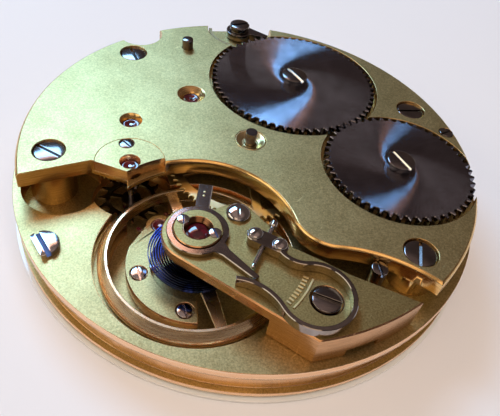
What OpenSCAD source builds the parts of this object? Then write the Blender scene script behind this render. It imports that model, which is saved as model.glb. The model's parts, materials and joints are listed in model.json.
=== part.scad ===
// Pocket watch movement: main plate, three-quarter train bridge, going train,
// lever escapement, swan-neck regulator, stem winding and dial work.
// Frame: dial face on z = 0, +Z up to the bridges, +X towards the winding stem.

/* [Plates] */
// How far the dial reaches past the main plate's rim
dial_over = 0.27; // [0.1:0.01:0.5]
// Thickness of the dial
dial_t = 0.35; // [0.3:0.05:0.4]
// Radius of the main plate at its rim and flange
plate_r = 21.83; // [21.7:0.01:22]
// Thickness of the main plate
plate_t = 3.88; // [3.8:0.02:4.1]
// Height of the flange's upper face above the dial face
flange_top = 1.13; // [1:0.01:1.3]
// Depth of the case groove in the rim
groove_depth = 0.53; // [0.3:0.01:0.6]
// Height of the full rim above the groove
rim_h = 0.89; // [0.6:0.01:1]
// Height of the train space between main plate and bridge
train_h = 1.72; // [1.7:0.02:1.9]
// Thickness of the train bridge
bridge_t = 1.56; // [1.5:0.02:1.8]
// How far the train bridge's edge lies inside the main plate's rim
bridge_step = 0.7; // [0.4:0.01:0.78]
// Width of the polished bevel along the bridge's edges
bevel = 0.22; // [0.1:0.01:0.3]
// Radius of the bridge's cut-out round the balance
balance_cut_r = 8.15; // [8.05:0.01:8.4]

/* [Winding] */
// Distance from the movement's centre to the barrel
barrel_d = 11.46; // [11.4:0.01:11.5]
// Direction of the barrel
barrel_a = 73.4; // [72:0.1:75]
// Height of the barrel, drum and cover together
barrel_h = 2.9; // [2.6:0.02:2.95]
// Distance from the movement's centre to the crown wheel
crown_d = 14.01; // [13.9:0.01:14.1]
// Thickness of the ratchet and crown wheels
winding_t = 0.95; // [0.8:0.01:1]
// Room round the tips of the winding wheels in their recesses
recess_gap = 0.3; // [0.2:0.01:0.4]
// Radius of the stem's hole
stem_r = 0.75; // [0.6:0.01:0.85]
// Height of the stem's axis above the main plate's upper face
stem_up = 0.52; // [0.45:0.01:0.6]
// Inward travel of the sliding clutch
clutch_travel = 1; // [0.6:0.05:1.1]

/* [Train] */
// Distance from the centre to the third wheel
third_d = 8.75; // [8.7:0.01:8.8]
// Direction of the third wheel
third_a = 141; // [140.5:0.1:141.5]
// Distance from the centre to the fourth wheel
fourth_d = 11.5; // [11.45:0.01:11.55]
// Direction of the fourth wheel
fourth_a = 181; // [180.5:0.1:181.5]
// Distance from the centre to the escape wheel
escape_d = 11.56; // [11.5:0.01:11.6]
// Direction of the escape wheel
escape_a = 210.1; // [209.8:0.1:210.4]
// Thickness of the train wheels
wheel_t = 0.27; // [0.2:0.01:0.3]
// Radius of the centre arbor's upper post
centre_post_r = 0.55; // [0.45:0.01:0.6]
// Height of the centre post above the bridge
centre_post_h = 0.95; // [0.6:0.05:1.2]
// Radius of the fine pivots
pivot_r = 0.15; // [0.12:0.01:0.2]
// Radial running clearance of every pivot and shaft
run = 0.03; // [0.02:0.005:0.05]
// Clearance of fixed pieces in their seats
seat = 0.02; // [0.01:0.005:0.03]

/* [Balance] */
// Distance from the centre to the balance staff
staff_d = 12.45; // [12.4:0.01:12.5]
// Direction of the balance staff
staff_a = 257.5; // [257.2:0.1:257.8]
// Outer radius of the balance rim
balance_r = 8.05; // [7.9:0.01:8.1]
// Radial width of the balance rim
balance_rim_w = 0.9; // [0.6:0.01:1]
// Height of the balance rim
balance_rim_h = 1.2; // [1:0.02:1.25]
// Outer radius of the hairspring
spring_r = 4; // [3.95:0.01:4.05]
// Turns of the hairspring
spring_turns = 6; // [4:1:6]
// Thickness of the hairspring's strip
spring_t = 0.06; // [0.05:0.005:0.08]
// Height of the hairspring's strip
spring_h = 0.3; // [0.2:0.01:0.35]
// Thickness of the balance cock's head
cock_t = 0.97; // [0.9:0.01:1.05]
// Height of the balance cock's foot above the main plate
cock_h = 3.04; // [3:0.02:3.2]
// Radius of the balance cock's head
cock_head_r = 2.9; // [2.8:0.01:3]
// Outer radius of the regulator's ring
index_r = 2.5; // [2.45:0.01:2.6]
// Thickness of the regulator
index_t = 0.4; // [0.3:0.01:0.45]
// Reach of the regulator's pointer from the staff
index_reach = 6.3; // [6.2:0.01:6.4]

/* [Screws] */
// Head radius of the bridge screws
screw_head_r = 1.35; // [1.2:0.01:1.4]
// Head height of the bridge screws
screw_head_h = 0.6; // [0.5:0.01:0.65]
// Shank radius of the bridge screws
screw_shank_r = 0.55; // [0.45:0.01:0.6]
// Width of the screw slots
slot_w = 0.28; // [0.2:0.01:0.35]

/* [Hidden] */
$fn = 64;
eps = 0.05;

// Places in plan
function pol(r, a) = [r * cos(a), r * sin(a)];
function dir(p, q) = atan2(q[1] - p[1], q[0] - p[0]);
centre = [0, 0];
dial_r = plate_r + dial_over;
bridge_r = plate_r - bridge_step;
barrel = pol(barrel_d, barrel_a);
crown = [crown_d, 0];
third = pol(third_d, third_a);
fourth = pol(fourth_d, fourth_a);
escape = pol(escape_d, escape_a);
staff = pol(staff_d, staff_a);
pallet_share = 0.476;
pallet = escape + pallet_share * (staff - escape);
pallet_dir = dir(pallet, staff);
pallet_to_staff = norm(staff - pallet);
click_from_barrel = [-7.174, 8.768];
click_at = barrel + click_from_barrel;
minute_d = 3;
minute = [minute_d, 0];
bridge_screw_at = [[-14.4, 11.1], [15.8, 9.4], [15.2, -10.1], [-17.2, -6.2]];
bridge_foot_r = 2.1;
cock_screw_at = [7.8, -16.26];
cock_screw_r = 1.15;
dog_screw_at = [[-15, -14.1], [-14.7, 15.2]];
dial_screw_at = [12, -12];
detent_screw_at = [19.2, 6.5];
rim_pin_at = [-9, 14];
rim_pin_r = 0.6;
rim_pin_h = 1.1;
rim_pin_deep = 0.8;

// Heights
plate_bottom = dial_t;
plate_top = dial_t + plate_t;
bridge_bottom = plate_top + train_h;
bridge_top = bridge_bottom + bridge_t;
cock_top = plate_top + cock_h;
cock_bottom = cock_top - cock_t;
floor_z = 1.9;
under_step_h = 0.3;
motion_h = 1.1;
motion_top = plate_bottom + motion_h;
barrel_floor_z = 1.75;
barrel_end_gap = 0.1;
barrel_z = barrel_floor_z + barrel_end_gap;
barrel_top = barrel_z + barrel_h;
winding_sunk = 0.76;
winding_z = bridge_top - winding_sunk;
winding_floor_gap = 0.1;
winding_floor = winding_z - winding_floor_gap;
winding_top = winding_z + winding_t;
centre_wheel_up = 0.77;
centre_wheel_z = plate_top + centre_wheel_up;
third_wheel_down = 0.25;
third_wheel_z = bridge_bottom - third_wheel_down;
fourth_wheel_up = 0.17;
fourth_wheel_z = plate_top + fourth_wheel_up;
escape_wheel_up = 0.7;
escape_wheel_z = floor_z + escape_wheel_up;
fork_up = 0.65;
fork_z = floor_z + fork_up;
fork_t = 0.3;
pallet_bridge_up = 1.05;
pallet_bridge_z = floor_z + pallet_bridge_up;
pallet_bridge_t = 0.35;
pallet_bridge_top = pallet_bridge_z + pallet_bridge_t;
balance_gap = 0.25;
balance_z = pallet_bridge_top + balance_gap;
balance_top = balance_z + balance_rim_h;
balance_floor = pallet_bridge_top;
arm_up = 0.35;
arm_z = balance_z + arm_up;
arm_t = 0.3;
spring_down = 1.75;
spring_z = cock_bottom - spring_down;
stem_z = plate_top + stem_up;

// Teeth: counts, and modules from the centre distances
barrel_n = 80;
centre_pinion_n = 16;
centre_n = 80;
third_pinion_n = 10;
third_n = 75;
fourth_pinion_n = 10;
fourth_n = 80;
escape_pinion_n = 8;
escape_n = 15;
ratchet_n = 63;
crown_n = 50;
winding_pinion_n = 16;
cannon_n = 12;
minute_n = 36;
minute_pinion_n = 10;
hour_n = 40;
function mod(p, q, n1, n2) = 2 * norm(p - q) / (n1 + n2);
barrel_m = mod(centre, barrel, barrel_n, centre_pinion_n);
centre_m = mod(centre, third, centre_n, third_pinion_n);
third_m = mod(third, fourth, third_n, fourth_pinion_n);
fourth_m = mod(fourth, escape, fourth_n, escape_pinion_n);
winding_m = mod(barrel, crown, ratchet_n, crown_n);
cannon_m = mod(centre, minute, cannon_n, minute_n);
hour_m = mod(centre, minute, hour_n, minute_pinion_n);
addendum = 0.72;
dedendum = 1;
function tip(n, m) = m * (n / 2 + addendum);
function root(n, m) = m * (n / 2 - dedendum);

// Wheel outlines
tooth_tip_share = 0.2;
tooth_root_share = 0.56;
function tooth(n, m, a) = let (p = 360 / n)
    [pol(root(n, m), a - p * tooth_root_share / 2), pol(tip(n, m), a - p * tooth_tip_share / 2),
     pol(tip(n, m), a + p * tooth_tip_share / 2), pol(root(n, m), a + p * tooth_root_share / 2)];
function gear_points(n, m) = [for (i = [0 : n - 1]) each tooth(n, m, 360 * i / n)];
function arc(c, r, a0, a1, n) = [for (i = [0 : n]) c + pol(r, a0 + (a1 - a0) * i / n)];
// A tooth of the first wheel points at the second, whose gap faces it
function tooth_at(p, q) = dir(p, q);
function gap_at(p, q, n) = dir(p, q) + 180 / n;

// Radii of arbors, jewels and recesses
arbor_r = 0.35;
jewel_r = 0.75;
jewel_t = 0.5;
sink_depth = 0.5;
ratchet_recess_r = tip(ratchet_n, winding_m) + recess_gap;
crown_recess_r = tip(crown_n, winding_m) + recess_gap;
barrel_arbor_r = 1;
barrel_hub_r = 2.6;
barrel_wall = 0.35;
drum_r = root(barrel_n, barrel_m);
barrel_gap = 0.15;
barrel_pocket_r = tip(barrel_n, barrel_m) + barrel_gap;
centre_arbor_r = 0.7;
cannon_shaft_r = 0.38;
escape_r = 3.1;
escape_cock_r = 3.07;
escape_cock_up = 0.42;
escape_cock_z = bridge_bottom + escape_cock_up;
escape_cock_clear = 0.65;
escape_cut_r = balance_cut_r + escape_cock_clear;
escape_screw_off = [-0.95, 2.25];
escape_cock_screw_at = escape + escape_screw_off;
balance_room = 0.4;
balance_pocket_r = balance_r + balance_room;
staff_r = 0.5;
roller_r = 1.6;
impulse_at = 1.15;
collet_r = 0.8;
cap_r = 1.95;
stud_a = 44;
stud_at = staff + pol(spring_r, stud_a);
stud_r = 0.35;
cap_t = 0.58;
index_a = -34.4;
rod_at_reach = 5.6;
rod_a = 76;
rod_r = 0.2;
rod_touch = staff + pol(rod_at_reach, index_a);
rod_up = 0.45;
rod_z = cock_top + rod_up;
rod_len = 5;
bracket_h = 0.88;
neck_c = [6.95, -16.5];
neck_r = 2.8;
neck_w = 0.38;
neck_h = bracket_h;
neck_screw_at = [[1.85, -11.95], [3.85, -12.6]];
pallet_screw_d = [4.75, 4.75];
pallet_screw_a = [206, 272];
pallet_screw_at = [for (i = [0, 1]) staff + pol(pallet_screw_d[i], pallet_screw_a[i])];

// Screws, threads and their seats
slot_deep = 0.3;
fine_slot_deep = 0.2;
head_gap = 0.1;
fine_gap = 0.07;
head_sunk = 0.12;
thread_deep = 2.4;
thread_end = 0.2;
bridge_seat_z = bridge_top - screw_head_h - head_sunk;
small_head_r = 0.65;
small_head_h = 0.4;
small_shank_r = 0.3;
escape_screw_sunk = 0.45;
escape_thread = 0.35;
pallet_screw_sunk = 0.35;
pallet_thread = 0.8;
cock_screw_sunk = 0.5;
cock_screw_h = 0.65;
dog_head_h = 0.5;
dog_flat = 0.6;
dial_screw_r = 0.7;
dial_screw_h = 2.7;
detent_head_r = 0.68;
detent_head_h = 0.55;
detent_shank_r = 0.35;
detent_sunk = 0.5;
cap_screw_a = [155, -8];
cap_screw_d = 1.44;
cap_head_r = 0.5;
cap_head_h = 0.27;
cap_head_sunk = 0.2;
cap_shank_r = 0.2;
cap_thread = 0.6;
neck_head_r = 0.6;
neck_head_h = 0.35;
neck_shank_r = 0.25;
neck_thread = 0.7;
stud_head_r = 1.05;
stud_head_h = 0.6;
stud_shank_r = 0.3;
stud_shank = 0.42;
crown_post_r = 0.6;
crown_head_r = 1.3;
click_post_r = 0.45;
click_head_r = 1.15;
winding_thread = 0.5;

// Jewels, arbors and the room round them
end_gap = 0.05;
shoulder_gap = 0.04;
pinion_gap = 0.4;
wheel_gap = 0.25;
arbor_room = 0.3;
oil_room = 0.3;
fine_arbor_r = 0.3;
train_jewel_sunk = 0.33;
train_jewel_top = plate_top - train_jewel_sunk;
train_jewel_z = train_jewel_top - jewel_t;
upper_jewel_top = bridge_top - sink_depth;
cock_jewel_sunk = 0.3;
cock_jewel_top = cock_top - cock_jewel_sunk;
third_sink_r = 1.5;
fourth_sink_r = 1.1;
escape_sink_r = 0.95;
bush_r = 1.45;
bush_sink_r = 1.4;
bush_sink = 0.35;
centre_seat_r = 0.9;
centre_pinion_down = 0.93;
centre_pinion_z = plate_top - centre_pinion_down;
barrel_arbor_up = 0.75;
barrel_arbor_z = plate_bottom + barrel_arbor_up;
square_w = 1.4;
dial_work_z = 0.1;
minute_post_r = 0.3;
hour_pipe_r = 0.95;
cannon_pipe_r = 0.62;
collet_down = 0.1;
collet_z = spring_z - collet_down;
collet_h = 0.5;

// Shared shapes
module at(p, z) { translate([p[0], p[1], z]) children(); }
module rod(p, r, z0, z1) { at(p, z0) cylinder(r = r, h = z1 - z0); }
module ring(p, r_out, r_in, z0, z1) {
    at(p, z0) difference() {
        cylinder(r = r_out, h = z1 - z0);
        translate([0, 0, -eps]) cylinder(r = r_in, h = z1 - z0 + 2 * eps);
    }
}
module gear(n, m, h, bore, phase) {
    difference() {
        rotate(phase) linear_extrude(h) polygon(gear_points(n, m));
        if (bore > 0) translate([0, 0, -eps]) cylinder(r = bore, h = h + 2 * eps);
    }
}
module crossings(r_in, r_out, arms, arm_w, h) {
    translate([0, 0, -eps]) linear_extrude(h + 2 * eps) difference() {
        circle(r_out);
        circle(r_in);
        for (i = [0 : arms - 1])
            rotate(360 * i / arms) translate([0, -arm_w / 2]) square([2 * r_out, arm_w]);
    }
}
wheel_arms = 5;
module spoked_wheel(p, z, n, m, bore, phase, arms, rim_w, hub_r, arm_w) {
    at(p, z) difference() {
        gear(n, m, wheel_t, bore, phase);
        rotate(phase) crossings(hub_r, root(n, m) - rim_w, arms, arm_w, wheel_t);
    }
}
// Slotted cheese-head screw: its head stands on z, its shank goes down
module screw(p, z, r_head, h_head, r_shank, shank, slot_a, slot_deep) {
    difference() {
        union() {
            rod(p, r_head, z, z + h_head);
            rod(p, r_shank, z - shank, z + eps);
        }
        at(p, z + h_head - slot_deep) rotate(slot_a)
            translate([-r_head - eps, -slot_w / 2, 0])
                cube([2 * (r_head + eps), slot_w, slot_deep + eps]);
    }
}
module pivoted_arbor(p, r, z0, z1, low, high) {
    rod(p, r, z0, z1);
    rod(p, pivot_r, low, z0 + eps);
    rod(p, pivot_r, z1 - eps, high);
}
module jewel(p, r, z0, z1) { ring(p, r, pivot_r + run, z0, z1); }
// Flat spiral strip as one outline, out along its inner edge and back along its outer edge;
// way is 1 for a spiral that opens counter-clockwise and -1 for one that opens clockwise
function spiral_point(r0, pitch, turns, a_end, way, r_off, i, steps) =
    pol(r0 + pitch * i / steps + r_off, a_end + way * 360 * (i / steps - turns));
function strip(r0, pitch, turns, a_end, way, t, steps) = concat(
    [for (i = [0 : turns * steps]) spiral_point(r0, pitch, turns, a_end, way, -t / 2, i, steps)],
    [for (i = [turns * steps : -1 : 0]) spiral_point(r0, pitch, turns, a_end, way, t / 2, i, steps)]);

// The dial, with its two feet
dial_feet_at = [[16.5, 5.6], [-16.5, -5.6]];
dial_foot_r = 0.45;
dial_foot_h = 1.1;
dial_foot_gap = 0.2;
dial_hole_r = hour_pipe_r + wheel_gap;
seconds_hole_r = 0.45;
module dial() {
    color("white") {
        difference() {
            cylinder(r = dial_r, h = dial_t);
            translate([0, 0, -eps]) cylinder(r = dial_hole_r, h = dial_t + 2 * eps);
            at(fourth, -eps) cylinder(r = seconds_hole_r, h = dial_t + 2 * eps);
        }
        for (p = dial_feet_at) rod(p, dial_foot_r, dial_t - eps, dial_t + dial_foot_h);
    }
}

// Main plate
motion_gap = 0.2;
escape_room = 0.5;
escape_pit_r = escape_r + escape_room;
foot_pit_at = [-16, -7];
foot_pit_r = 3.62;
foot_pit_z = 2.6;
slot_gap = 0.12;
winding_pinion_r = winding_z - stem_z - end_gap;
winding_pinion_x = 18.2;
winding_pinion_l = 2;
clutch_x = 14.6;
clutch_r = 1.3;
balance_step_w = 1.2;
boss_w = 4;
boss_x = 20.35;
module keyless_room(z0, z1, half_w) {
    translate([winding_pinion_x - slot_gap, -half_w, z0])
        cube([winding_pinion_l + 2 * slot_gap, 2 * half_w, z1 - z0]);
}
module clutch_room(z0, z1) {
    x0 = clutch_x - clutch_travel - slot_gap;
    translate([x0, -clutch_r - slot_gap, z0])
        cube([winding_pinion_x - x0, 2 * (clutch_r + slot_gap), z1 - z0]);
}
module plate_blank() {
    rod(centre, plate_r - groove_depth, plate_bottom, plate_top - eps);
    rod(centre, plate_r, plate_bottom + under_step_h, flange_top);
    rod(centre, plate_r, plate_top - rim_h, plate_top);
    intersection() {
        rod(centre, bridge_r, plate_top - eps, bridge_bottom - slot_gap);
        translate([boss_x, -boss_w / 2, plate_top - eps]) cube([plate_r, boss_w, train_h]);
    }
}
// Wall left in the rim outside the pockets
rim_wall = 0.45;
module plate_pockets() {
    rod(barrel, barrel_pocket_r, barrel_floor_z, plate_top + eps);
    rod(centre, tip(centre_pinion_n, barrel_m) + pinion_gap, centre_pinion_z - pinion_gap,
        plate_top + eps);
    rod(staff, balance_pocket_r, balance_floor, plate_top + eps);
    rod(staff, balance_pocket_r - balance_step_w, floor_z, plate_top + eps);
    rod(escape, escape_pit_r, floor_z, plate_top + eps);
    rod(foot_pit_at, foot_pit_r, foot_pit_z, plate_top + eps);
    rod(centre, tip(hour_n, hour_m) + motion_gap, plate_bottom - eps, motion_top);
    difference() {
        rod(minute, tip(minute_n, cannon_m) + motion_gap, plate_bottom - eps, motion_top);
        rod(minute, minute_post_r, plate_bottom, motion_top + eps);
    }
    keyless_room(stem_z - winding_pinion_r - slot_gap, bridge_top, winding_pinion_r + slot_gap);
    clutch_room(stem_z - clutch_r - slot_gap, bridge_top);
}
module plate_holes() {
    rod(centre, centre_arbor_r + run, plate_bottom, plate_top);
    rod(barrel, barrel_arbor_r + run, barrel_arbor_z - end_gap, barrel_floor_z + eps);
    for (p = [third, fourth]) {
        rod(p, jewel_r + seat, train_jewel_z, train_jewel_top);
        rod(p, arbor_r + arbor_room, train_jewel_top - eps, plate_top + eps);
    }
    rod(third, arbor_r, train_jewel_z - oil_room, train_jewel_z + eps);
    rod(fourth, arbor_r, plate_bottom - eps, train_jewel_z + eps);
    for (p = [escape, pallet, staff]) {
        rod(p, jewel_r + seat, floor_z - jewel_t, floor_z + eps);
        rod(p, arbor_r, floor_z - jewel_t - oil_room, floor_z);
    }
    for (p = concat(bridge_screw_at, dog_screw_at, [cock_screw_at, dial_screw_at]))
        rod(p, screw_shank_r + seat, plate_top - thread_deep, plate_top + eps);
    for (p = pallet_screw_at) rod(p, small_shank_r + seat, floor_z - pallet_thread, floor_z + eps);
    for (p = dial_feet_at)
        rod(p, dial_foot_r + seat, plate_bottom - eps, dial_t + dial_foot_h + dial_foot_gap);
    translate([clutch_x, 0, stem_z]) rotate([0, 90, 0]) cylinder(r = stem_r, h = plate_r);
}
module main_plate() {
    color("goldenrod") difference() {
        plate_blank();
        intersection() {
            plate_pockets();
            rod(centre, plate_r - rim_wall, plate_bottom - 2 * eps, bridge_top);
        }
        plate_holes();
    }
}

// Train bridge: a disc cut away round the balance and along the cock
cock_cut_c = [10.2, -23.06];
cock_cut_r = 12;
nose_r = 4;
nose_bite = 0.05;
nose_span = norm(cock_cut_c - staff);
nose_from_staff = balance_cut_r + nose_r - nose_bite;
nose_from_cock = cock_cut_r + nose_r - nose_bite;
nose_along = (pow(nose_from_staff, 2) - pow(nose_from_cock, 2) + pow(nose_span, 2)) / (2 * nose_span);
nose_up = sqrt(pow(nose_from_staff, 2) - pow(nose_along, 2));
nose_a = dir(staff, cock_cut_c);
nose_c = staff + pol(nose_along, nose_a) + pol(nose_up, nose_a + 90);
nose_inside = 1;
nose_left = staff + pol(balance_cut_r - nose_inside, dir(staff, nose_c));
nose_right = cock_cut_c + pol(cock_cut_r - nose_inside, dir(cock_cut_c, nose_c));
corner_left = [-18.55, -9.72];
beak_left = [-13.28, -6.51];
beak_tip = [-9.89, -7.11];
lower_y = -14;
outside = 30;
beyond_corner = 0.6;
module left_cut() {
    out = corner_left + beyond_corner * (corner_left - beak_left);
    polygon([out, beak_left, beak_tip, [beak_tip[0] + 2, lower_y], [beak_tip[0], -outside],
        [-outside, -outside]]);
}
module nose_sector() { polygon([nose_left, [nose_left[0], cock_cut_c[1]], nose_right, nose_c]); }
module nose_cut() {
    linear_extrude(bridge_top + eps) difference() {
        nose_sector();
        translate(nose_c) circle(nose_r);
    }
    intersection() {
        linear_extrude(bridge_top + bevel) nose_sector();
        difference() {
            rod(nose_c, nose_r + nose_inside, bridge_top - bevel, bridge_top + eps);
            at(nose_c, bridge_top - bevel) cylinder(r1 = nose_r, r2 = nose_r - 2 * bevel, h = 2 * bevel);
        }
    }
}
module bevelled_cut(p, r) {
    rod(p, r, 0, bridge_top + eps);
    at(p, bridge_top - bevel) cylinder(r1 = r, r2 = r + 2 * bevel, h = 2 * bevel);
}
module bridge_blank() {
    difference() {
        union() {
            rod(centre, bridge_r, bridge_bottom, bridge_top - bevel);
            at(centre, bridge_top - bevel) cylinder(r1 = bridge_r, r2 = bridge_r - bevel, h = bevel);
        }
        bevelled_cut(staff, balance_cut_r);
        bevelled_cut(cock_cut_c, cock_cut_r);
        nose_cut();
        linear_extrude(bridge_top + eps) {
            left_cut();
            translate([-outside, lower_y - 2 * outside]) square(2 * outside);
        }
    }
}
click_room_r = 3.75;
dog_notch_room = 1.05;
dog_notch_r = screw_head_r + dog_notch_room;
module bridge_recesses() {
    rod(barrel, ratchet_recess_r, winding_floor, bridge_top + eps);
    rod(crown, crown_recess_r, winding_floor, bridge_top + eps);
    rod(click_at, click_room_r, winding_floor, bridge_top + eps);
    rod(third, tip(third_n, third_m) + wheel_gap, bridge_bottom - eps, bridge_bottom + wheel_gap);
    rod(fourth, tip(fourth_pinion_n, third_m) + pinion_gap, bridge_bottom - eps,
        bridge_bottom + pinion_gap);
    rod(escape, escape_cock_r + seat, escape_cock_z, bridge_top + eps);
    rod(dog_screw_at[1], dog_notch_r, bridge_bottom - eps, bridge_top + eps);
    keyless_room(bridge_bottom - eps, winding_floor + eps, winding_pinion_r + slot_gap);
    clutch_room(bridge_bottom - eps, stem_z + clutch_r + slot_gap);
}
module jewel_sink(p, r) {
    at(p, upper_jewel_top) cylinder(r1 = jewel_r + seat, r2 = r, h = sink_depth + eps);
}
module bridge_holes() {
    for (p = bridge_screw_at) {
        rod(p, screw_shank_r + seat, 0, bridge_top);
        rod(p, screw_head_r + head_gap, bridge_seat_z, bridge_top + eps);
    }
    rod(barrel, barrel_arbor_r + run, bridge_bottom - eps, bridge_top);
    rod(centre, bush_r + seat, bridge_bottom - eps, bridge_top + eps);
    for (p = [third, fourth]) rod(p, jewel_r + seat, bridge_bottom - eps, upper_jewel_top);
    jewel_sink(third, third_sink_r);
    jewel_sink(fourth, fourth_sink_r);
    rod(escape, jewel_r + arbor_room, bridge_bottom - eps, escape_cock_z + eps);
    rod(escape_cock_screw_at, small_shank_r + seat, escape_cock_z - escape_thread, escape_cock_z + eps);
    rod(crown, crown_post_r + seat, winding_floor - winding_thread, winding_floor + eps);
    rod(click_at, click_post_r + seat, winding_floor - winding_thread, winding_floor + eps);
    rod(detent_screw_at, detent_head_r + fine_gap, bridge_top - detent_sunk, bridge_top + eps);
    rod(detent_screw_at, detent_shank_r + seat, bridge_bottom - eps, bridge_top);
    rod(rim_pin_at, rim_pin_r + seat, bridge_top - rim_pin_deep, bridge_top + eps);
}
module train_bridge() {
    color("darkkhaki") difference() {
        union() {
            difference() {
                bridge_blank();
                bridge_recesses();
            }
            for (i = [0 : 2])
                rod(bridge_screw_at[i], bridge_foot_r - head_gap, plate_top, bridge_bottom + eps);
            rod(bridge_screw_at[3], bridge_foot_r, foot_pit_z, bridge_bottom + eps);
        }
        bridge_holes();
    }
}

// Escape cock: a disc let into the bridge's beak, trimmed round the balance
module escape_cock() {
    color("darkkhaki") difference() {
        rod(escape, escape_cock_r, escape_cock_z, bridge_top);
        rod(staff, escape_cut_r, 0, bridge_top + eps);
        linear_extrude(bridge_top + eps) left_cut();
        rod(escape, jewel_r + seat, 0, upper_jewel_top);
        jewel_sink(escape, escape_sink_r);
        rod(escape_cock_screw_at, small_shank_r + seat, 0, bridge_top);
        rod(escape_cock_screw_at, small_head_r + fine_gap, bridge_top - escape_screw_sunk, bridge_top + eps);
    }
}

// Balance cock: head over the balance, foot on the main plate
cock_corner_a = -69.4;
cock_far_a = -44.5;
cock_past = 1.02;
cock_edge = [[5, -11.8], [7.6, -12.65], [9.5, -13.4]];
stud_boss_r = 1.3;
pivot_room_r = 0.3;
foot_gap = 0.5;
module cock_outline() {
    intersection() {
        circle(bridge_r);
        union() {
            translate(staff) circle(cock_head_r);
            translate(stud_at) circle(stud_boss_r);
            polygon(concat([staff + pol(cock_head_r, 75), stud_at + pol(stud_boss_r, 35)], cock_edge,
                arc(centre, cock_past * bridge_r, cock_far_a, cock_corner_a, 8),
                [pol(bridge_r, cock_corner_a), staff + pol(cock_head_r, -112)]));
        }
    }
}
module balance_cock() {
    color("goldenrod") difference() {
        union() {
            at(centre, cock_bottom) linear_extrude(cock_t) cock_outline();
            difference() {
                at(centre, plate_top) linear_extrude(cock_h - cock_t + eps) cock_outline();
                rod(staff, balance_pocket_r + foot_gap, 0, cock_top);
            }
        }
        rod(staff, jewel_r + seat, 0, cock_jewel_top);
        rod(staff, pivot_room_r, 0, cock_top + eps);
        rod(cock_screw_at, screw_shank_r + seat, 0, cock_top + eps);
        rod(cock_screw_at, cock_screw_r + head_gap, cock_top - cock_screw_sunk, cock_top + eps);
        rod(stud_at, stud_r + seat, 0, cock_top + eps);
        for (p = neck_screw_at) rod(p, neck_shank_r + seat, cock_top - neck_thread, cock_top + eps);
        for (a = cap_screw_a)
            rod(staff + pol(cap_screw_d, a), cap_shank_r + seat, cock_top - cap_thread, cock_top + eps);
    }
}

// Pallet bridge: a crescent round the staff, thin over the fork
pallet_bridge_in_r = 3.75;
pallet_bridge_in = 1.35;
pallet_bridge_out_r = balance_r - balance_rim_w - pallet_bridge_in;
pallet_boss_r = 1.25;
pallet_foot_a = [186, 284];
pallet_corner_a = 177;
pallet_neck_turn = [60, 150];
module crescent(a0, a1) {
    intersection() {
        difference() {
            circle(pallet_bridge_out_r);
            circle(pallet_bridge_in_r);
        }
        polygon(concat([[0, 0]], arc([0, 0], 2 * pallet_bridge_out_r, a0, a1, 12)));
    }
}
module pallet_neck() {
    edge = [for (turn = pallet_neck_turn) pallet + pol(pallet_boss_r, dir(staff, pallet) + turn)];
    lap_a = pallet_corner_a + 1;
    polygon([edge[0], staff + pol(pallet_bridge_out_r, pallet_corner_a), staff + pol(pallet_bridge_out_r - eps, lap_a),
        staff + pol(pallet_bridge_in_r + eps, lap_a), staff + pol(pallet_bridge_in_r, pallet_corner_a), edge[1]]);
}
module pallet_bridge() {
    color("darkkhaki") difference() {
        union() {
            at(staff, pallet_bridge_z) linear_extrude(pallet_bridge_top - pallet_bridge_z)
                crescent(pallet_corner_a, pallet_foot_a[1]);
            at(centre, pallet_bridge_z) linear_extrude(pallet_bridge_top - pallet_bridge_z) pallet_neck();
            rod(pallet, pallet_boss_r, pallet_bridge_z, pallet_bridge_top);
            at(staff, floor_z) linear_extrude(pallet_bridge_top - floor_z)
                crescent(pallet_foot_a[0], pallet_foot_a[1]);
        }
        rod(pallet, jewel_r + seat, 0, pallet_bridge_top + eps);
        for (p = pallet_screw_at) {
            rod(p, small_shank_r + seat, 0, pallet_bridge_top + eps);
            rod(p, small_head_r + head_gap, pallet_bridge_top - pallet_screw_sunk, pallet_bridge_top + eps);
        }
    }
}

// Screws and pins
bridge_slot_a = [-58, 15, 85, -20];
module bridge_screws() {
    shank = bridge_seat_z - plate_top + thread_deep - thread_end;
    color("dimgray") for (i = [0 : 3])
        screw(bridge_screw_at[i], bridge_seat_z, screw_head_r, screw_head_h, screw_shank_r, shank,
            bridge_slot_a[i], slot_deep);
}
module escape_cock_screw() {
    z = bridge_top - escape_screw_sunk;
    color("dimgray") screw(escape_cock_screw_at, z, small_head_r, small_head_h, small_shank_r,
        z - escape_cock_z + escape_thread - end_gap, -35, fine_slot_deep);
}
module cock_screw() {
    shank = cock_h - cock_screw_sunk + thread_deep - thread_end;
    color("dimgray") screw(cock_screw_at, cock_top - cock_screw_sunk, cock_screw_r, cock_screw_h,
        screw_shank_r, shank, -12, slot_deep);
}
module pallet_bridge_screws() {
    z = pallet_bridge_top - pallet_screw_sunk;
    color("silver") for (p = pallet_screw_at)
        screw(p, z, small_head_r, small_head_h, small_shank_r, z - floor_z + pallet_thread - thread_end,
            -62, fine_slot_deep);
}
// Half-moon headed screws that hold the movement in its case
module dog_screws() {
    color("silver") for (p = dog_screw_at) difference() {
        screw(p, plate_top, screw_head_r, dog_head_h, screw_shank_r, thread_deep - thread_end, -42,
            fine_slot_deep);
        at(p, plate_top) rotate(dir(centre, p) - 90)
            translate([-2 * screw_head_r, dog_flat, 0])
                cube([4 * screw_head_r, 2 * screw_head_r, 2 * dog_head_h]);
    }
}
module dial_screw() {
    color("dimgray") screw(dial_screw_at, plate_top, dial_screw_r, dial_screw_h, screw_shank_r,
        thread_deep - thread_end, 100, slot_deep);
}
module detent_screw() {
    z = bridge_top - detent_sunk;
    color("dimgray") screw(detent_screw_at, z, detent_head_r, detent_head_h, detent_shank_r,
        z - bridge_bottom - head_gap, 40, fine_slot_deep);
}
module rim_pin() {
    color("darkgoldenrod") rod(rim_pin_at, rim_pin_r, bridge_top - rim_pin_deep, bridge_top + rim_pin_h);
}

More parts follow.
